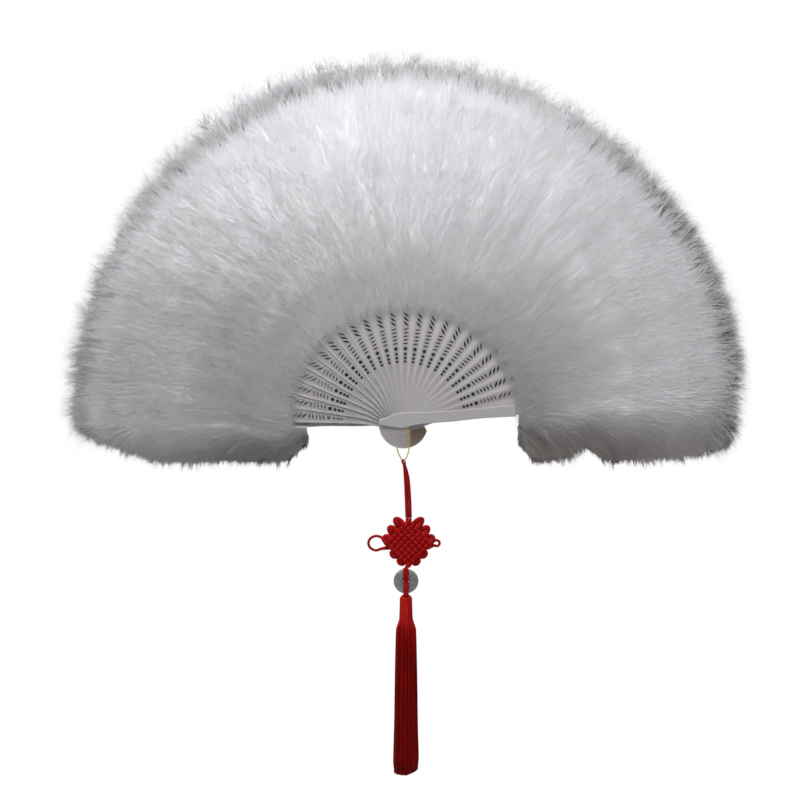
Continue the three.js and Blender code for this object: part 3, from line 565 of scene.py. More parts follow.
def knot_route(side, ear):
    """One cord of the knot: lines to and fro across the square, over and under in turn, with an ear after
    the first line and a bight at the end of the others. The second value is how wide the cord is pressed:
    1 on the square, 1.12 on the bights and 0 on the ear."""
    weave = 1.3 * MM

    def place(along, across, height):
        return on_mat(along, across, height) if side > 0 else on_mat(across, along, -height)

    points, packed = [], []
    for line in range(KNOT_LINES):
        across = -KNOT_REACH + line * KNOT_PITCH
        way = 1 if line % 2 == 0 else -1
        for crossing in range(KNOT_LINES):
            along = way * (-KNOT_REACH + crossing * KNOT_PITCH)
            height = weave if (line + crossing) % 2 == 0 else -weave
            points += [place(along + step * way * 0.2 * KNOT_PITCH, across, height) for step in (-1, 1)]
            packed += [1.0, 1.0]
        if line == 0:
            points += list(ear_loop(side, ear))
            packed += [0.0] * 7
        elif line < KNOT_LINES - 1:
            reach = 2.4 * MM if line % 2 == 0 else (6.9 * MM, 5.6 * MM, 3.2 * MM)[(line - 1) // 2]
            edge = way * (KNOT_REACH + 0.35 * KNOT_PITCH)
            points += [place(edge + way * 0.62 * reach, across + 0.02 * reach, 0),
                       place(edge + way * reach, across + 0.5 * KNOT_PITCH, 0),
                       place(edge + way * 0.62 * reach, across + KNOT_PITCH - 0.02 * reach, 0)]
            packed += [1.12] * 3
    return points, packed


def bight_through_ring():
    """The knot's lower bight: down behind the ring, through its hole and up in front. Each row gives how
    far it stands off the ring's middle plane, as a share, and its height over the hole's centre."""
    hole = 2.63 * MM
    stand = RING_HALF_THICKNESS + 1.45 * MM
    rows = [(1, RING_RADIUS + 0.23 * MM), (1, hole + 3.2 * MM), (0.9, hole + 0.2 * MM), (0.55, 0.4 * MM)]
    behind, before = ([[RING_CENTRE[0], MIDDLE_Y + side * share * stand, RING_CENTRE[2] + height]
                       for share, height in rows] for side in (1, -1))
    return behind + before[::-1]


def knot_piece():
    """The knot as one flattened cord along its whole route. Its half-width is 1.97 mm in the square,
    2.08 mm on the bights and 1.05 mm on the ears, and it is 1.35 by 2.15 mm at the ring."""
    left, left_packed = knot_route(1, 5.0 * MM)
    right, right_packed = knot_route(-1, 12.0 * MM)
    ends = [[KNOT_OFFSET + side * 1.3 * MM, MIDDLE_Y, -KNOT_TOP - 0.8 * MM] for side in (-1, 1)]
    bight = bight_through_ring()
    controls = np.array([ends[0], *left, *bight, *right[::-1], ends[1]])
    packed = [0.0, *left_packed, *([0.0] * len(bight)), *right_packed[::-1], 0.0]
    route = smooth_line(controls, 1500)
    steps = run_along(controls)
    dense = np.interp(np.linspace(0, steps[-1], 1500), steps, packed)
    dense = np.convolve(np.pad(dense, 6, mode="edge"), np.ones(13) / 13, mode="valid")
    low = route[:, 2] < RING_CENTRE[2] + RING_RADIUS
    wide = np.where(low, 1.35 * MM, (1.05 + 0.92 * dense) * MM)
    thick = np.where(low, 2.15 * MM, (1.12 + 0.05 * dense) * MM)
    reference = np.where(low[:, None], [[1.0, 0.0, 0.0]], [[0.0, 1.0, 0.0]])
    return tube("knot_cord", route, wide, thick, 10, KNOT_RED, reference)


# ---- ring and tassel

head_low, head_high = solid_box("tassel_head")
skirt_low, skirt_high = solid_box("tassel_skirt")
TASSEL_X = (head_low[0] + head_high[0]) / 2
THREAD_RED = thread_finish()


def turned(name, profile, centre, sides, finish, ring):
    """A profile of pairs (radius, place along the axis) turned about the centre: a ring's closed profile
    about Y, or an open one about Z, capped at both ends."""
    radius, along = profile[:, :1], profile[:, 1:]
    across, other = radius * np.cos(circle(sides)), radius * np.sin(circle(sides))
    points = xyz(across, along, -other) if ring else xyz(across, other, along)
    faces = ring_faces(len(profile), sides, looped=ring)
    return mesh_piece(name, points.reshape(-1, 3) + np.asarray(centre), faces, finish)


def stone_ring():
    """The ring: a flat bead with a hole, its section a rounded rectangle (a superellipse)."""
    hole = 2.25 * MM
    half_band = (RING_RADIUS - hole) / 2
    turn = circle(28)
    profile = np.stack([hole + half_band * (1 + squared(np.cos(turn), 0.55)),
                        RING_HALF_THICKNESS * squared(np.sin(turn), 0.75)], axis=1)
    return turned("stone_ring", profile, RING_CENTRE, 96, stone_finish(), ring=True)


def tassel_loop():
    """The cord bight through the ring from below: up the rear, through the hole and down the front."""
    low, high = solid_box("tassel_loop")
    stand = (high[1] - low[1]) / 2 - 1.0 * MM
    feet = low[2] - 0.4 * MM
    turn = np.radians(np.arange(0, 181, 20))
    arch = xyz(RING_CENTRE[0], MIDDLE_Y + stand * np.cos(turn),
               high[2] - 0.6 * MM - 4.4 * MM * (1 - np.sin(turn)))
    controls = [[RING_CENTRE[0], MIDDLE_Y + stand, feet], *arch, [RING_CENTRE[0], MIDDLE_Y - stand, feet]]
    return tube("tassel_cord", smooth_line(controls, 60), 1.35 * MM, 2.1 * MM, 10, CORD_RED, (1, 0, 0))


def tassel_head():
    """The tassel's head: thread wound round its top. The radius is a barrel plus a small scallop for
    each turn of the winding, and it is rounded at the top."""
    top, bottom = head_high[2] + 0.9 * MM, skirt_high[2] - 1.5 * MM
    height = np.linspace(0, 1, 170)
    barrel = NECK_RADIUS + 0.5 * MM * height ** 2
    scallop = 0.22 * MM * np.abs(np.sin(np.pi * 21 * height)) ** 0.8
    crown = np.sqrt(np.clip(1 - (1 - np.minimum(height / 0.20, 1)) ** 2, 0.05, 1))
    profile = np.stack([(barrel + scallop) * crown, top + (bottom - top) * height], axis=1)[::-1]
    return turned("tassel_head_winding", profile, (TASSEL_X, MIDDLE_Y, 0), 48, THREAD_RED, ring=False)


def flared(down, neck, to_shoulder, to_hem):
    """A skirt's radius at a share down it: out from the neck in a quarter sine over the first tenth, and
    evenly wider to the hem."""
    return neck + to_shoulder * np.sin(np.pi / 2 * np.minimum(down / 0.10, 1)) + to_hem * down


def tassel_skirt():
    """The skirt: hanging threads, each at its own share of the flared radius, drawn in a little at the
    hem and with a slight seeded wave. The hem rises to the right."""
    rng = np.random.default_rng(11)
    count, steps, sides = 620, 14, 4
    top, bottom = skirt_high[2] + 0.5 * MM, skirt_low[2]
    turn = rng.uniform(0, 2 * np.pi, count)
    depth = np.sqrt(rng.uniform(0.12, 1, count))
    down = np.linspace(0, 1, steps)[None, :]
    close = 1 - 0.10 * np.clip((down - 0.93) / 0.07, 0, 1) ** 2
    radius = depth[:, None] * flared(down, NECK_RADIUS, 3.0 * MM, 2.1 * MM) * close
    wave = down * rng.uniform(4, 11, count)[:, None] + rng.uniform(0, 6.3, count)[:, None]
    radius = radius + 0.16 * MM * np.sin(wave) * down
    swirl = turn[:, None] + rng.normal(0, 0.05, count)[:, None] * down
    slant = 2.9 * MM * np.clip(np.cos(turn) * depth, 0, 1) + 1.3 * MM * depth ** 4
    length = top - bottom - slant - np.abs(rng.normal(0, 0.5, count)) * MM
    path = xyz(TASSEL_X + radius * np.cos(swirl), MIDDLE_Y + radius * np.sin(swirl),
               top - length[:, None] * down)
    tangent = unit(np.gradient(path, axis=1))
    first = unit(np.cross(tangent, np.array([0.3, 0.9, 0.1])))
    second = np.cross(tangent, first)
    corner = circle(sides)[:, None]
    half = rng.uniform(0.24, 0.38, count)[:, None, None, None] * MM
    points = path[:, :, None, :] + half * (first[:, :, None, :] * np.cos(corner)
                                           + second[:, :, None, :] * np.sin(corner))
    shift = np.arange(count)[:, None, None] * (steps * sides)
    faces = [(part[None] + shift).reshape(-1, 4) for part in ring_faces(steps, sides)]
    return mesh_piece("tassel_threads", points.reshape(-1, 3), faces, THREAD_RED)


def skirt_core():
    """The threads' dark inside: a fluted body just inside the outer threads, rounded at its foot."""
    top, bottom = skirt_high[2], skirt_low[2] + 5.5 * MM
    rows, sides = 24, 48
    turn = circle(sides)
    down = np.linspace(0, 1, rows)[:, None]
    foot = np.sqrt(np.clip(1 - ((down - 0.9) / 0.1).clip(0, 1) ** 2, 0.02, 1))
    radius = flared(down, 3.6 * MM, 2.9 * MM, 1.9 * MM) * (1 + 0.03 * np.cos(12 * turn)) * foot
    points = xyz(TASSEL_X + radius * np.cos(turn), MIDDLE_Y + radius * np.sin(turn),
                 top + (bottom - top) * down)
    faces = [part[:, ::-1] for part in ring_faces(rows, sides)]
    return mesh_piece("tassel_core", points.reshape(-1, 3), faces, THREAD_RED)


cord_piece, cord_line = doubled_cord()
knot = knot_piece()
ring = stone_ring()
loop = tassel_loop()
head = tassel_head()
skirt = tassel_skirt()
core = skirt_core()

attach(cord_piece, "cord_hank")
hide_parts("hanging_cord")
for piece, node, slot in ((knot, "knot", "cord"), (ring, "ring", "ring"), (loop, "tassel_loop", "cord"),
                          (head, "tassel_head", "binding"), (skirt, "tassel_skirt", "skirt")):
    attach(piece, "tassel")
    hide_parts(node)
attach(core, "tassel")

# ---- sticks, guards, wire and pin

STICK_PLASTIC = pale_plastic(True)
GUARD_PLASTIC = pale_plastic(False)
BRASS = brass_finish()


def soften_edges(node):
    """Joins a CAD node's loose triangles and rounds its sharp edges, by modifiers only."""
    weld = node.modifiers.new("joined corners", "WELD")
    weld.merge_threshold = 0.01 * MM
    bevel = node.modifiers.new("worn edges", "BEVEL")
    bevel.width = 0.14 * MM
    bevel.segments = 2
    bevel.limit_method = "ANGLE"
    bevel.angle_limit = math.radians(40)


for name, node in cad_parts.items():
    if name.startswith(("stick_", "guard_")):
        node.data.materials.clear()
        node.data.materials.append(STICK_PLASTIC if name.startswith("stick_") else GUARD_PLASTIC)
        soften_edges(node)
    elif name in ("bail", "rivet_pin"):
        node.data.materials.clear()
        node.data.materials.append(BRASS)

# ---- the down


def spiral_y(degrees):
    """The middle of the down at an angle about the pivot: the layers' steps smoothed into one slope, so
    that neighbouring plumes meet, with each guard's plume sloping to its own layer."""
    return MM * np.interp(degrees, [-4.0, 9.6, 13.25, 172.75, 176.4, 188.0],
                          [1.2, 4.0, 4.5, 26.5, 27.0, 29.8])


def reach_at(degrees):
    """How far the down reaches from the pivot: least at the sides, most just left of the top."""
    return MM * np.interp(degrees, [0, 10, 20, 40, 50, 80, 112, 130, 150, 165, 180],
                          [256.0, 262.5, 265.5, 271.0, 275.0, 281.0, 284.0, 277.5, 267.0, 262.5, 259.5])


def lower_edge(index, distance):
    """For a guard's plume: how far the lobe hangs below the guard's line at each distance, as an angle
    in degrees. It swells in from its start as a quarter sine and is nicked by a bell-shaped notch, deep
    on the front lobe. Its outer corner is a quarter ellipse at the front and nearly a slope at the rear."""
    notch = bell(distance, NOTCH_DISTANCE, 11 * MM)
    if index == 0:
        drop, length, level = 27.3 * MM, 18 * MM, stick_angle(index)
        notch = 0.35 * notch + 0.08 * ease(160 * MM, 200 * MM, distance)
        corner = np.sqrt(1 - np.clip((distance - 198 * MM) / (53 * MM), 0, 1) ** 2)
    else:
        drop, length, level = 28.6 * MM, 24 * MM, 180 - stick_angle(index)
        notch = 0.04 * notch
        corner = 1 - np.clip((distance - 180 * MM) / (72 * MM), 0, 1) ** 1.35
    swell = 0.40 + 0.60 * np.sin(np.pi / 2 * np.clip((distance - LOBE_START[index]) / length, 0, 1))
    return level + np.degrees(drop * swell * (1 - notch) * corner / distance)


def below_guard(index, degrees):
    """Degrees below the guard's line, on a guard's plume."""
    return -degrees if index == 0 else degrees


def sector(index, distance):
    """The low and high edge of a plume in degrees from its stick, at each distance. A guard's plume
    reaches from its neighbour's edge down to the lobe's lower edge."""
    half = PITCH_ANGLE / 2 + 0 * distance
    if index not in LOBE_START:
        return -half, half
    blade = MM * np.interp(distance, [73 * MM, 84 * MM, 88 * MM, 94 * MM], [3.3, 3.3, 2.3, 0.4])
    guard = np.degrees(blade / distance)
    inner = -guard + (half + guard) * ease(DOWN_BASE - 5 * MM, DOWN_BASE + 4 * MM, distance)
    outer = lower_edge(index, distance)
    return (-outer, inner) if index == 0 else (-inner, outer)


def body_end(index, degrees):
    """Where a plume's solid body ends, at degrees from its stick: a little inside the rim."""
    return reach_at(stick_angle(index) + degrees) - BODY_INSET


def half_thickness(index, start, distance, degrees):
    """The plume's half-thickness: by the share of its length it swells from the base and thins at the
    rim. A guard's plume starts like its neighbour at the guard's line, and nearer as its lobe."""
    end = body_end(index, degrees)
    start = DOWN_START + (start - DOWN_START) * ease(0, 0.35, hanging(index, distance, degrees))
    share = np.clip((distance - start) / (end - start), 0, 1)
    return DOWN_HALF_THICKNESS * np.interp(share, [0, 0.1, 0.25, 0.5, 0.75, 0.9, 1.0],
                                           [0.22, 0.34, 0.54, 0.80, 0.84, 0.62, 0.28])


def soft_lumps(x, z):
    """The cloud's soft unevenness, the same for all plumes so that it runs across them: a sum of
    slanting sine waves 50 to 85 mm long that grows from nothing at the plumes' start, in metres."""
    grown = ease(DOWN_START, DOWN_START + 36 * MM, np.hypot(x, z))
    waves = ((0.45, 68, 31, 0.6), (0.35, -42, 76, 2.1), (0.20, 101, -57, 4.0), (0.15, 31, 118, 1.2))
    return grown * MM * sum(high * np.sin(by_x * x + by_z * z + shift) for high, by_x, by_z, shift in waves)


def lobe_room(index, distance, degrees):
    """How far a place on a guard's plume lies above the lobe's lower edge; far on every other plume."""
    if index not in LOBE_START:
        return 1.0 + 0 * distance
    return np.radians(np.clip(lower_edge(index, distance) - below_guard(index, degrees), 0, 90)) * distance


def turned_place(index, distance, degrees, y):
    """Points at a distance and an angle from the stick, in the row frame."""
    angle = np.radians(stick_angle(index) + degrees)
    return xyz(distance * np.cos(angle), y, distance * np.sin(angle))


def hanging(index, distance, degrees):
    """On a guard's plume, 0 at the guard's line and above it and 1 at the lobe's lower edge."""
    if index not in LOBE_START:
        return 0 * distance + 0 * degrees
    return np.clip(below_guard(index, degrees) / np.maximum(lower_edge(index, distance), 1e-9), 0, 1)


def rim_band(index, distance):
    """The shadow among the barbs inside the rim: a bell curve 7.5 mm wide, 12 to 28.5 mm inside it, most
    marked at the right and left of the top."""
    angle = stick_angle(index)
    places = [10, 35, 60, 90, 120, 145, 170]
    inside = MM * np.interp(angle, places, [12.0, 16.0, 24.0, 20.0, 28.5, 20.0, 17.0])
    depth = np.interp(angle, places, [1.7, 1.85, 0.65, 1.8, 2.2, 0.6, 0.5])
    return depth * bell(distance, reach_at(angle) - inside, 7.5 * MM)


def down_shade(index, distance, hang):
    """How deep in shadow the down is: inside the rim, over the sticks' shoulders, and on the lobes
    towards their lower edge."""
    rim = rim_band(index, distance)
    inner = 1 - ease(86 * MM, 215 * MM, distance)
    lobe = 0.68 if index == 0 else 0.54
    return np.clip(0.28 * rim + 0.37 * inner + lobe * ease(-0.11, 0.72, hang), 0, DEEPEST_SHADE)


def down_shell(index, start):
    """The plume's body: rows of points along the plume and round it. The section is a nearly square
    superellipse, so that neighbours' fronts meet as one surface, with the cloud's soft lumps on both
    faces. Shading normals near straight to the front and rear hide the furrows between neighbours."""
    rows, sides = 38, 24
    share = np.linspace(0, 1, rows)[:, None] ** 1.25
    distance = start + (body_end(index, 0.0) - start) * share
    turn = 2 * np.pi * (np.arange(sides) + 0.5)[None, :] / sides
    low, high = sector(index, distance)
    laps = {0: (0.35, 1.8), LAST: (1.8, 0.35)}.get(index, (0.40, 0.40))
    low, high = low - np.degrees(laps[0] * MM / distance), high + np.degrees(laps[1] * MM / distance)
    across = squared(np.cos(turn), 0.45 if index in LOBE_START else 0.18)
    depth = squared(np.sin(turn), 0.12)
    narrow = 1 - 0.10 * ease(0.92, 1, share)
    degrees = (low + high) / 2 + narrow * (high - low) / 2 * across
    distance = start + (body_end(index, degrees) - start) * share
    flat = turned_place(index, distance, degrees, 0.0)
    thick = half_thickness(index, start, distance, degrees) + soft_lumps(flat[..., 0], flat[..., 2])
    points = turned_place(index, distance, degrees, spiral_y(stick_angle(index) + degrees) - thick * depth)
    hang = hanging(index, distance, degrees)
    flat_share = 0.85 * (1 - ease(0.2, 0.9, hang)) * (1 - ease(0.9, 1, share))
    normals = xyz(0 * degrees, -np.sign(depth), 0.0)
    faces = ring_faces(rows, sides)
    outward = points[0, 0] - points[0].mean(axis=0)
    if np.dot(np.cross(points[0, 1] - points[0, 0], points[1, 0] - points[0, 0]), outward) < 0:
        faces = [part[:, ::-1] for part in faces]
    shade = down_shade(index, distance, hang)
    return points.reshape(-1, 3), faces, shade.ravel(), normals.reshape(-1, 3), flat_share.ravel()


class Barbs:
    """The barbs of one plume, gathered as arrays."""

    def __init__(self, index):
        self.index = index
        self.near_rear = index >= LAST - 1
        self.angle = stick_angle(index)
        self.reach = float(reach_at(self.angle))
        self.start = LOBE_START.get(index, DOWN_START)
        self.end = self.reach - BODY_INSET
        self.limit = self.end + (14 - 8 * ease(25, 50, self.angle)) * MM
        self.rng = np.random.default_rng(100 + index)
        self.points, self.triangles, self.shades, self.normals = [], [], [], []
        self.total = 0

    def directions(self, degrees):
        """Outward from the pivot, and square to that in the fan's plane."""
        angle = np.radians(self.angle + degrees)
        return xyz(np.cos(angle), 0.0, np.sin(angle)), xyz(-np.sin(angle), 0.0, np.cos(angle))

    def face_y(self, places, side):
        """The height (y) of the plume's face at places in the fan's plane: the layer's middle, and to the
        given side its half-thickness with the soft lumps. Inward of the down it is just off the blades."""
        distance = np.hypot(places[:, 0], places[:, 2])
        degrees = np.degrees(np.arctan2(places[:, 2], places[:, 0]))
        degrees = np.where(degrees < -90, degrees + 360, degrees)
        depth = half_thickness(self.index, self.start, distance, degrees - self.angle)
        depth = depth + soft_lumps(places[:, 0], places[:, 2])
        inward = ease(0, 14 * MM, self.start - distance)
        return spiral_y(degrees) - side * (depth * (1 - inward) + 2.3 * MM * inward)

    def degrees_at(self, distance, across):
        """Degrees from the stick, at a share across the plume."""
        low, high = sector(self.index, distance)
        return low + (high - low) * across

    def shade_at(self, distance, across):
        """How deep in shadow the down is, at a share across the plume."""
        hang = hanging(self.index, distance, self.degrees_at(distance, across))
        return down_shade(self.index, distance, hang)

    def grow(self, distance, across, side, length, width, shades, tilt, fan, stand, way=1.0, steps=2,
             turn=0.0, deep=None, curl=0.16, beyond=(0.3, 2.2)):
        """Barbs rooted at a distance and a share across the plume, on a face from 1 (front) to -1 (rear),
        with shades at root and tip. They flow outward, or inward where way is -1, turned by `turn` and a
        spread of `fan`, lifted by `tilt` and bent sideways by `curl`. On a lobe they turn down with the
        hang and end `beyond` its edge. Each tip comes back to `stand` off the face. `deep` is how dark a
        barb is in the shadow inside the rim."""
        count = len(distance)
        rng = self.rng
        side = np.broadcast_to(side, count)
        degrees = self.degrees_at(distance, across)
        roots = turned_place(self.index, distance, degrees, 0.0)
        roots[:, 1] = self.face_y(roots, side)
        outward, sideways = self.directions(degrees)
        yaw = (rng.normal(0, fan, count) + turn)[:, None]
        hang = hanging(self.index, distance, degrees)[:, None]
        flow = outward * way * np.cos(yaw) + sideways * np.sin(yaw)
        flow = unit(flow * (1 - 0.62 * hang) + np.array([0.0, 0.0, -0.95]) * hang)
        room = lobe_room(self.index, distance, degrees) / np.maximum(-flow[:, 2], 0.1)
        length = np.minimum(length, room + rng.uniform(*beyond, count) * MM)
        ways = unit(flow - np.array([0.0, 1.0, 0.0]) * (rng.uniform(0.5, 1.5, count) * side)[:, None] * tilt)
        bends = sideways * rng.normal(0, curl, count)[:, None] + np.array([0.0, 0.0, -0.06])
        bends = bends * length[:, None]
        tips = roots + ways * length[:, None] + bends
        rise = rng.uniform(*stand, count) * MM
        bends[:, 1] = self.face_y(tips, side) - side * rise - tips[:, 1]
        points, triangles, along = spikes(roots, ways, bends, length, width, steps)
        facing = np.where(side >= 0, 1.0, -1.0)[:, None]
        share = (distance - self.start) / (self.end - self.start)
        normal = unit(np.array([0.0, -1.0, 0.0]) * facing + outward * 0.22 * ease(0.75, 1.0, share)[:, None]
                      + rng.normal(0, 0.05, (count, 3)))
        tone = shades[0][:, None] * (1 - along) + shades[1][:, None] * along
        if deep is not None:
            reached = np.hypot(points[:, 0], points[:, 2]).reshape(along.shape)
            tone = tone + deep[:, None] * rim_band(self.index, reached)
        self.points.append(points)
        self.triangles.append(triangles + self.total)
        self.total += len(points)
        self.shades.append(np.clip(tone, 0, 1).ravel())
        self.normals.append(np.repeat(normal, along.shape[1], axis=0))

    def lay(self, distance, across, side, lengths, widths, darkest, tilt, fan):
        """Barbs that lie on a face, toned by their place and ended at the plume's limit."""
        rng, count = self.rng, len(distance)
        base = self.shade_at(distance, across)
        length = np.minimum(rng.uniform(*lengths, count) * MM, self.limit - distance)
        self.grow(distance, across, side, length, rng.uniform(*widths, count) * MM,
                  (base, base + rng.uniform(-0.02, darkest, count)), tilt, fan, (0.35, 1.25))

    def cover(self, count, side):
        """The cover of one face: barbs spread evenly over its area."""
        rng = self.rng
        distance = np.sqrt(rng.uniform(self.start ** 2, self.end ** 2, count))
        across = rng.uniform(-0.01, 1.01, count)
        self.lay(distance, across, side, (9, 20), (0.11, 0.21), 0.04, 0.125, 0.22)

    def seams(self, count, side):
        """Barbs along both edges of a face, where it meets its neighbours'."""
        rng = self.rng
        distance = np.sqrt(rng.uniform(self.start ** 2, self.end ** 2, count))
        across = np.where(rng.uniform(0, 1, count) < 0.5, rng.uniform(-0.03, 0.06, count),
                          rng.uniform(0.94, 1.03, count))
        self.lay(distance, across, side, (10, 18), (0.12, 0.22), 0.035, 0.11, 0.20)

    def fringe(self, count):
        """The fringe at the rim: long fine barbs drawn into strands, and the strands into tufts. Each
        strand has its own root, turn, length and depth of shadow."""
        rng = self.rng
        tufts, strands = 11, 220
        tuft = rng.integers(0, tufts, strands)
        place = (np.arange(tufts) + rng.uniform(0.1, 0.9, tufts)) / tufts
        across = place[tuft] + rng.normal(0, 0.055, strands)
        distance = self.reach - rng.uniform(15, 36, strands) * MM
        side = rng.uniform(-1, 1, strands)
        turn = rng.normal(0, 0.24, tufts)[tuft] + rng.normal(0, 0.17, strands)
        long = rng.uniform(0, 1, strands) < 0.85 - 0.48 * ease(15, 55, self.angle)
        longer = np.where(long, rng.triangular(-9, -1, 6, strands), rng.triangular(-18, -11, -5, strands))
        uneven = 1 - 0.55 * ease(40, 70, self.angle) * (1 - ease(115, 140, self.angle))
        longer = longer + uneven * rng.uniform(-5, 1, tufts)[tuft]
        in_shadow = rng.uniform(0, 1, strands) < 0.55
        right = 1 + 0.35 * max(math.cos(math.radians(self.angle)), 0)
        deep = np.where(in_shadow, rng.uniform(0.6, 1.2, strands), rng.uniform(0.0, 0.2, strands))
        deep = deep * rng.uniform(0.45, 1.0, tufts)[tuft] * right
        strand = rng.integers(0, strands, count)
        distance = distance[strand] + rng.normal(0, 1.0, count) * MM
        across = across[strand] + rng.normal(0, 0.008, count)
        length = self.reach + (longer[strand] + rng.uniform(-2, 1, count)) * MM - distance
        length = np.maximum(length, 7 * MM)
        hang = hanging(self.index, distance, self.degrees_at(distance, across))
        shade = rng.uniform(0.0, 0.08, count)
        self.grow(distance, across, side[strand], length * (1 - 0.6 * hang),
                  rng.uniform(0.08, 0.17, count) * MM, (shade, shade), 0.08, 0.04, (-1.5, 2.0), steps=3,
                  turn=turn[strand], deep=deep[strand], curl=0.26, beyond=(1.0, 4.5))

    def lobe_fringe(self, count):
        """The fringe of a guard's lobe in strands that point down and a little outward: short ones along
        its lower edge, longer ones from higher up, and short ones at its end nearest to the sticks."""
        rng = self.rng
        strands = 360
        kind = rng.uniform(0, 1, strands)
        high_up, at_end = kind < 0.34, kind > 0.90
        distance = np.where(at_end, self.start + rng.uniform(0, 3, strands) * MM,
                            rng.uniform(self.start, self.end - 3 * MM, strands))
        across = np.where(high_up, rng.uniform(0.08, 0.46, strands), rng.uniform(0.0, 0.13, strands))
        across = np.where(at_end, rng.uniform(0.0, 0.7, strands), across)
        length = np.where(high_up, rng.uniform(9, 17, strands), rng.uniform(4, 10, strands)) * MM
        length = np.where(at_end, rng.uniform(3, 6, strands) * MM, length)
        turn = np.where(at_end, 1.9, rng.uniform(0.2, 1.0, strands)) + rng.normal(0, 0.15, strands)
        dark = at_end | (rng.uniform(0, 1, strands) < 0.72)
        low_tip = 7 * rng.uniform(0, 1, strands) ** 2
        tone = self.shade_at(distance, across if self.index == 0 else 1 - across)
        deepest = np.where(high_up & (self.index > 0), 0.12, 0.24)
        tone = tone + np.where(dark, rng.uniform(0.04, deepest), rng.uniform(-0.16, -0.03, strands))
        strand = rng.integers(0, strands, count)
        spread = rng.normal(0, 0.8, count)
        distance = np.clip(distance[strand] + spread * MM, self.start, self.end)
        across = across[strand] + rng.normal(0, 0.010, count)
        across, way_down = (across, -1.0) if self.index == 0 else (1 - across, 1.0)
        root = tone[strand] + rng.uniform(-0.05, 0.05, count)
        self.grow(distance, across, rng.uniform(-1, 1, strands)[strand], length[strand],
                  rng.uniform(0.14, 0.28, count) * MM, (root, root - 0.12), 0.08, 0.06, (0.2, 1.8),
                  turn=way_down * turn[strand], beyond=(low_tip[strand], low_tip[strand] + 1))

    def inner_fringe(self, count, side):
        """The fringe that lies inward over the pierced blades and over a guard's tongue."""
        rng = self.rng
        base = REAR_DOWN_START if self.index == LAST else DOWN_START
        distance = base + (0.5 + 30 * rng.uniform(0, 1, count) ** 2.3) * MM
        length = np.clip(rng.uniform(9, 20, count) * MM, 0, distance - 80 * MM)
        half = PITCH_ANGLE / 2 + 0.4
        degrees = rng.uniform(-half, half, count)
        low, high = sector(self.index, distance)
        shade = down_shade(self.index, distance, 0 * distance) + rng.uniform(0.0, 0.13, count)
        self.grow(distance, (degrees - low) / (high - low), side, length, rng.uniform(0.10, 0.20, count) * MM,
                  (shade, shade + 0.05), 0.05, 0.30, (0.0, 0.5), way=-1.0, steps=3)


def plume(index, finish):
    """One plume: its body and all its barbs in one mesh."""
    lobed = index in LOBE_START
    barbs = Barbs(index)
    points, faces, shade, normals, flat_share = down_shell(index, barbs.start)
    barbs.cover(3700 if lobed else 2080, 1.0)
    barbs.cover(900 if lobed else 480, -1.0)
    barbs.seams(900 if index in (0, 1, LAST - 1, LAST) else 400, 1.0)
    barbs.seams(200, -1.0)
    barbs.fringe(1560)
    barbs.inner_fringe(600 if barbs.near_rear else 360, 1.0)
    barbs.inner_fringe(400 if barbs.near_rear else 90, -1.0)
    if lobed:
        barbs.lobe_fringe(3400)
    triangles = [part + len(points) for part in barbs.triangles]
    return mesh_piece("down_%02d" % index, np.concatenate([points, *barbs.points]), faces + triangles, finish,
                      layers={"shade": np.concatenate([shade, *barbs.shades])},
                      lean=(np.concatenate([normals, *barbs.normals]),
                            np.concatenate([flat_share, np.ones(barbs.total)])))


DOWN = down_finish()
for index in range(STICKS):
    feather = plume(index, DOWN)
    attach(feather, stick_body(index))
    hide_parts("plume_%02d" % index)
    if index:
        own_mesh(feather)

# ---- the linking thread, a stretch to each stick


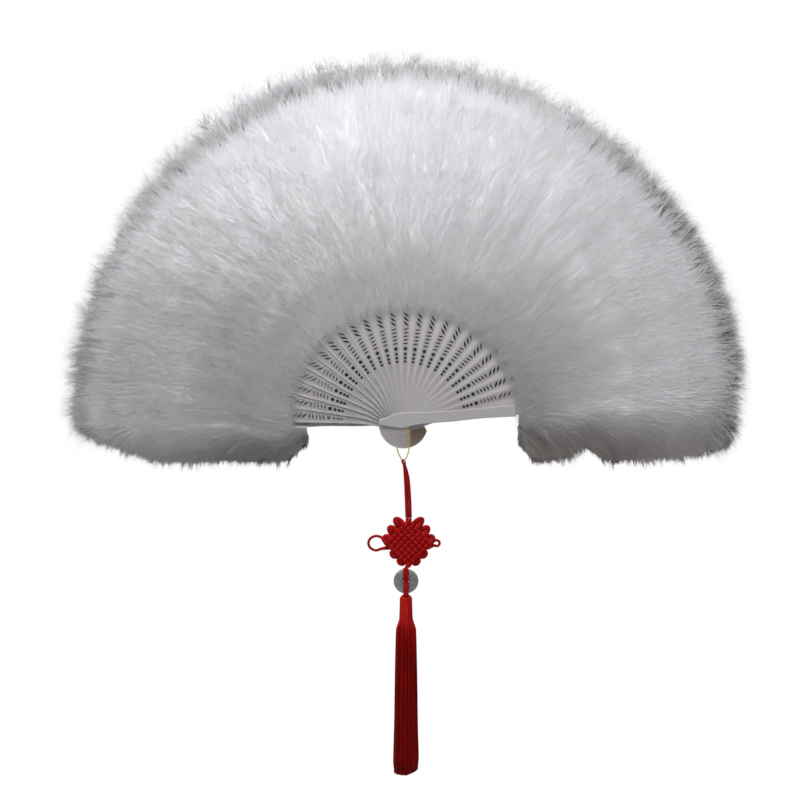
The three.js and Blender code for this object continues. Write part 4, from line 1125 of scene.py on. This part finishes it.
def thread_stretch(index, finish):
    """The linking thread from one stick to the next: an arc about the pivot, sunk in the down, that
    steps back by one layer at its end."""
    turn = np.linspace(-PITCH_ANGLE / 2 + 0.1, PITCH_ANGLE / 2 - 0.1, 12)
    step = layer_y(min(index + 1, LAST)) - layer_y(index)
    y = layer_y(index) - 0.80 * MM + step * ease(-1.0, PITCH_ANGLE / 2, turn)
    path = turned_place(index, THREAD_DISTANCE, turn, y)
    return tube("thread_%02d" % index, path, 0.25 * MM, 0.25 * MM, 6, finish)


THREAD_WHITE = cord_finish("white linking thread", 0.6 * MM, (0.30, 0.30, 0.31), (0.52, 0.52, 0.54))
for index in range(STICKS):
    stretch = thread_stretch(index, THREAD_WHITE)
    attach(stretch, stick_body(index))
    if index == 0:
        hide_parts("linking_thread")

# ---- floor, world and lights


def floor_piece():
    """A plain floor under the hanging tassel: a flat grid of 16 by 24 squares, open on all sides."""
    grid_x, grid_y = np.meshgrid(np.linspace(-4, 4, 17), np.linspace(-3, 3, 25))
    points = xyz(grid_x, grid_y, FLOOR_Z).reshape(-1, 3)
    corner = np.arange(24)[:, None] * 17 + np.arange(16)[None, :]
    quads = np.stack([corner, corner + 1, corner + 18, corner + 17], axis=-1).reshape(-1, 4)
    return mesh_piece("floor", points, quads, floor_finish())


def area_light(name, place, aim, size, power):
    """A soft rectangular lamp that faces a point."""
    data = bpy.data.lights.new(name, "AREA")
    data.shape = "RECTANGLE"
    data.size, data.size_y = size
    data.energy = power
    lamp = bpy.data.objects.new(name, data)
    lamp.location = place
    x, y, z = np.array(aim, float) - np.array(place, float)
    lamp.rotation_euler = (math.atan2(math.hypot(x, y), -z), 0, math.atan2(y, x) - math.pi / 2)
    lamp.visible_camera = False
    bpy.context.scene.collection.objects.link(lamp)


def set_world(strength):
    """Even white surroundings; the camera sees them as plain white."""
    n = Nodes(bpy.data.worlds.new("soft studio"))
    light = n.add("Background", Color=(0.98, 0.98, 1.0, 1), Strength=strength).outputs[0]
    n.add("OutputWorld", Surface=n.seen_white(light, "Background"))
    bpy.context.scene.world = n.owner


floor_piece()
set_world(0.14)
area_light("overhead softbox", (-0.145, -0.29, 0.50), (-0.02, 0.02, 0.14), (1.25, 0.32), 7.9)
area_light("front fill", (-0.7, -2.2, 0.6), (0.0, 0.0, 0.0), (1.2, 1.2), 2.0)
area_light("rear fill", (0.3, 1.3, 0.8), (0.0, 0.0, 0.1), (1.2, 0.8), 10.0)
bpy.context.scene.view_settings.view_transform = "Standard"
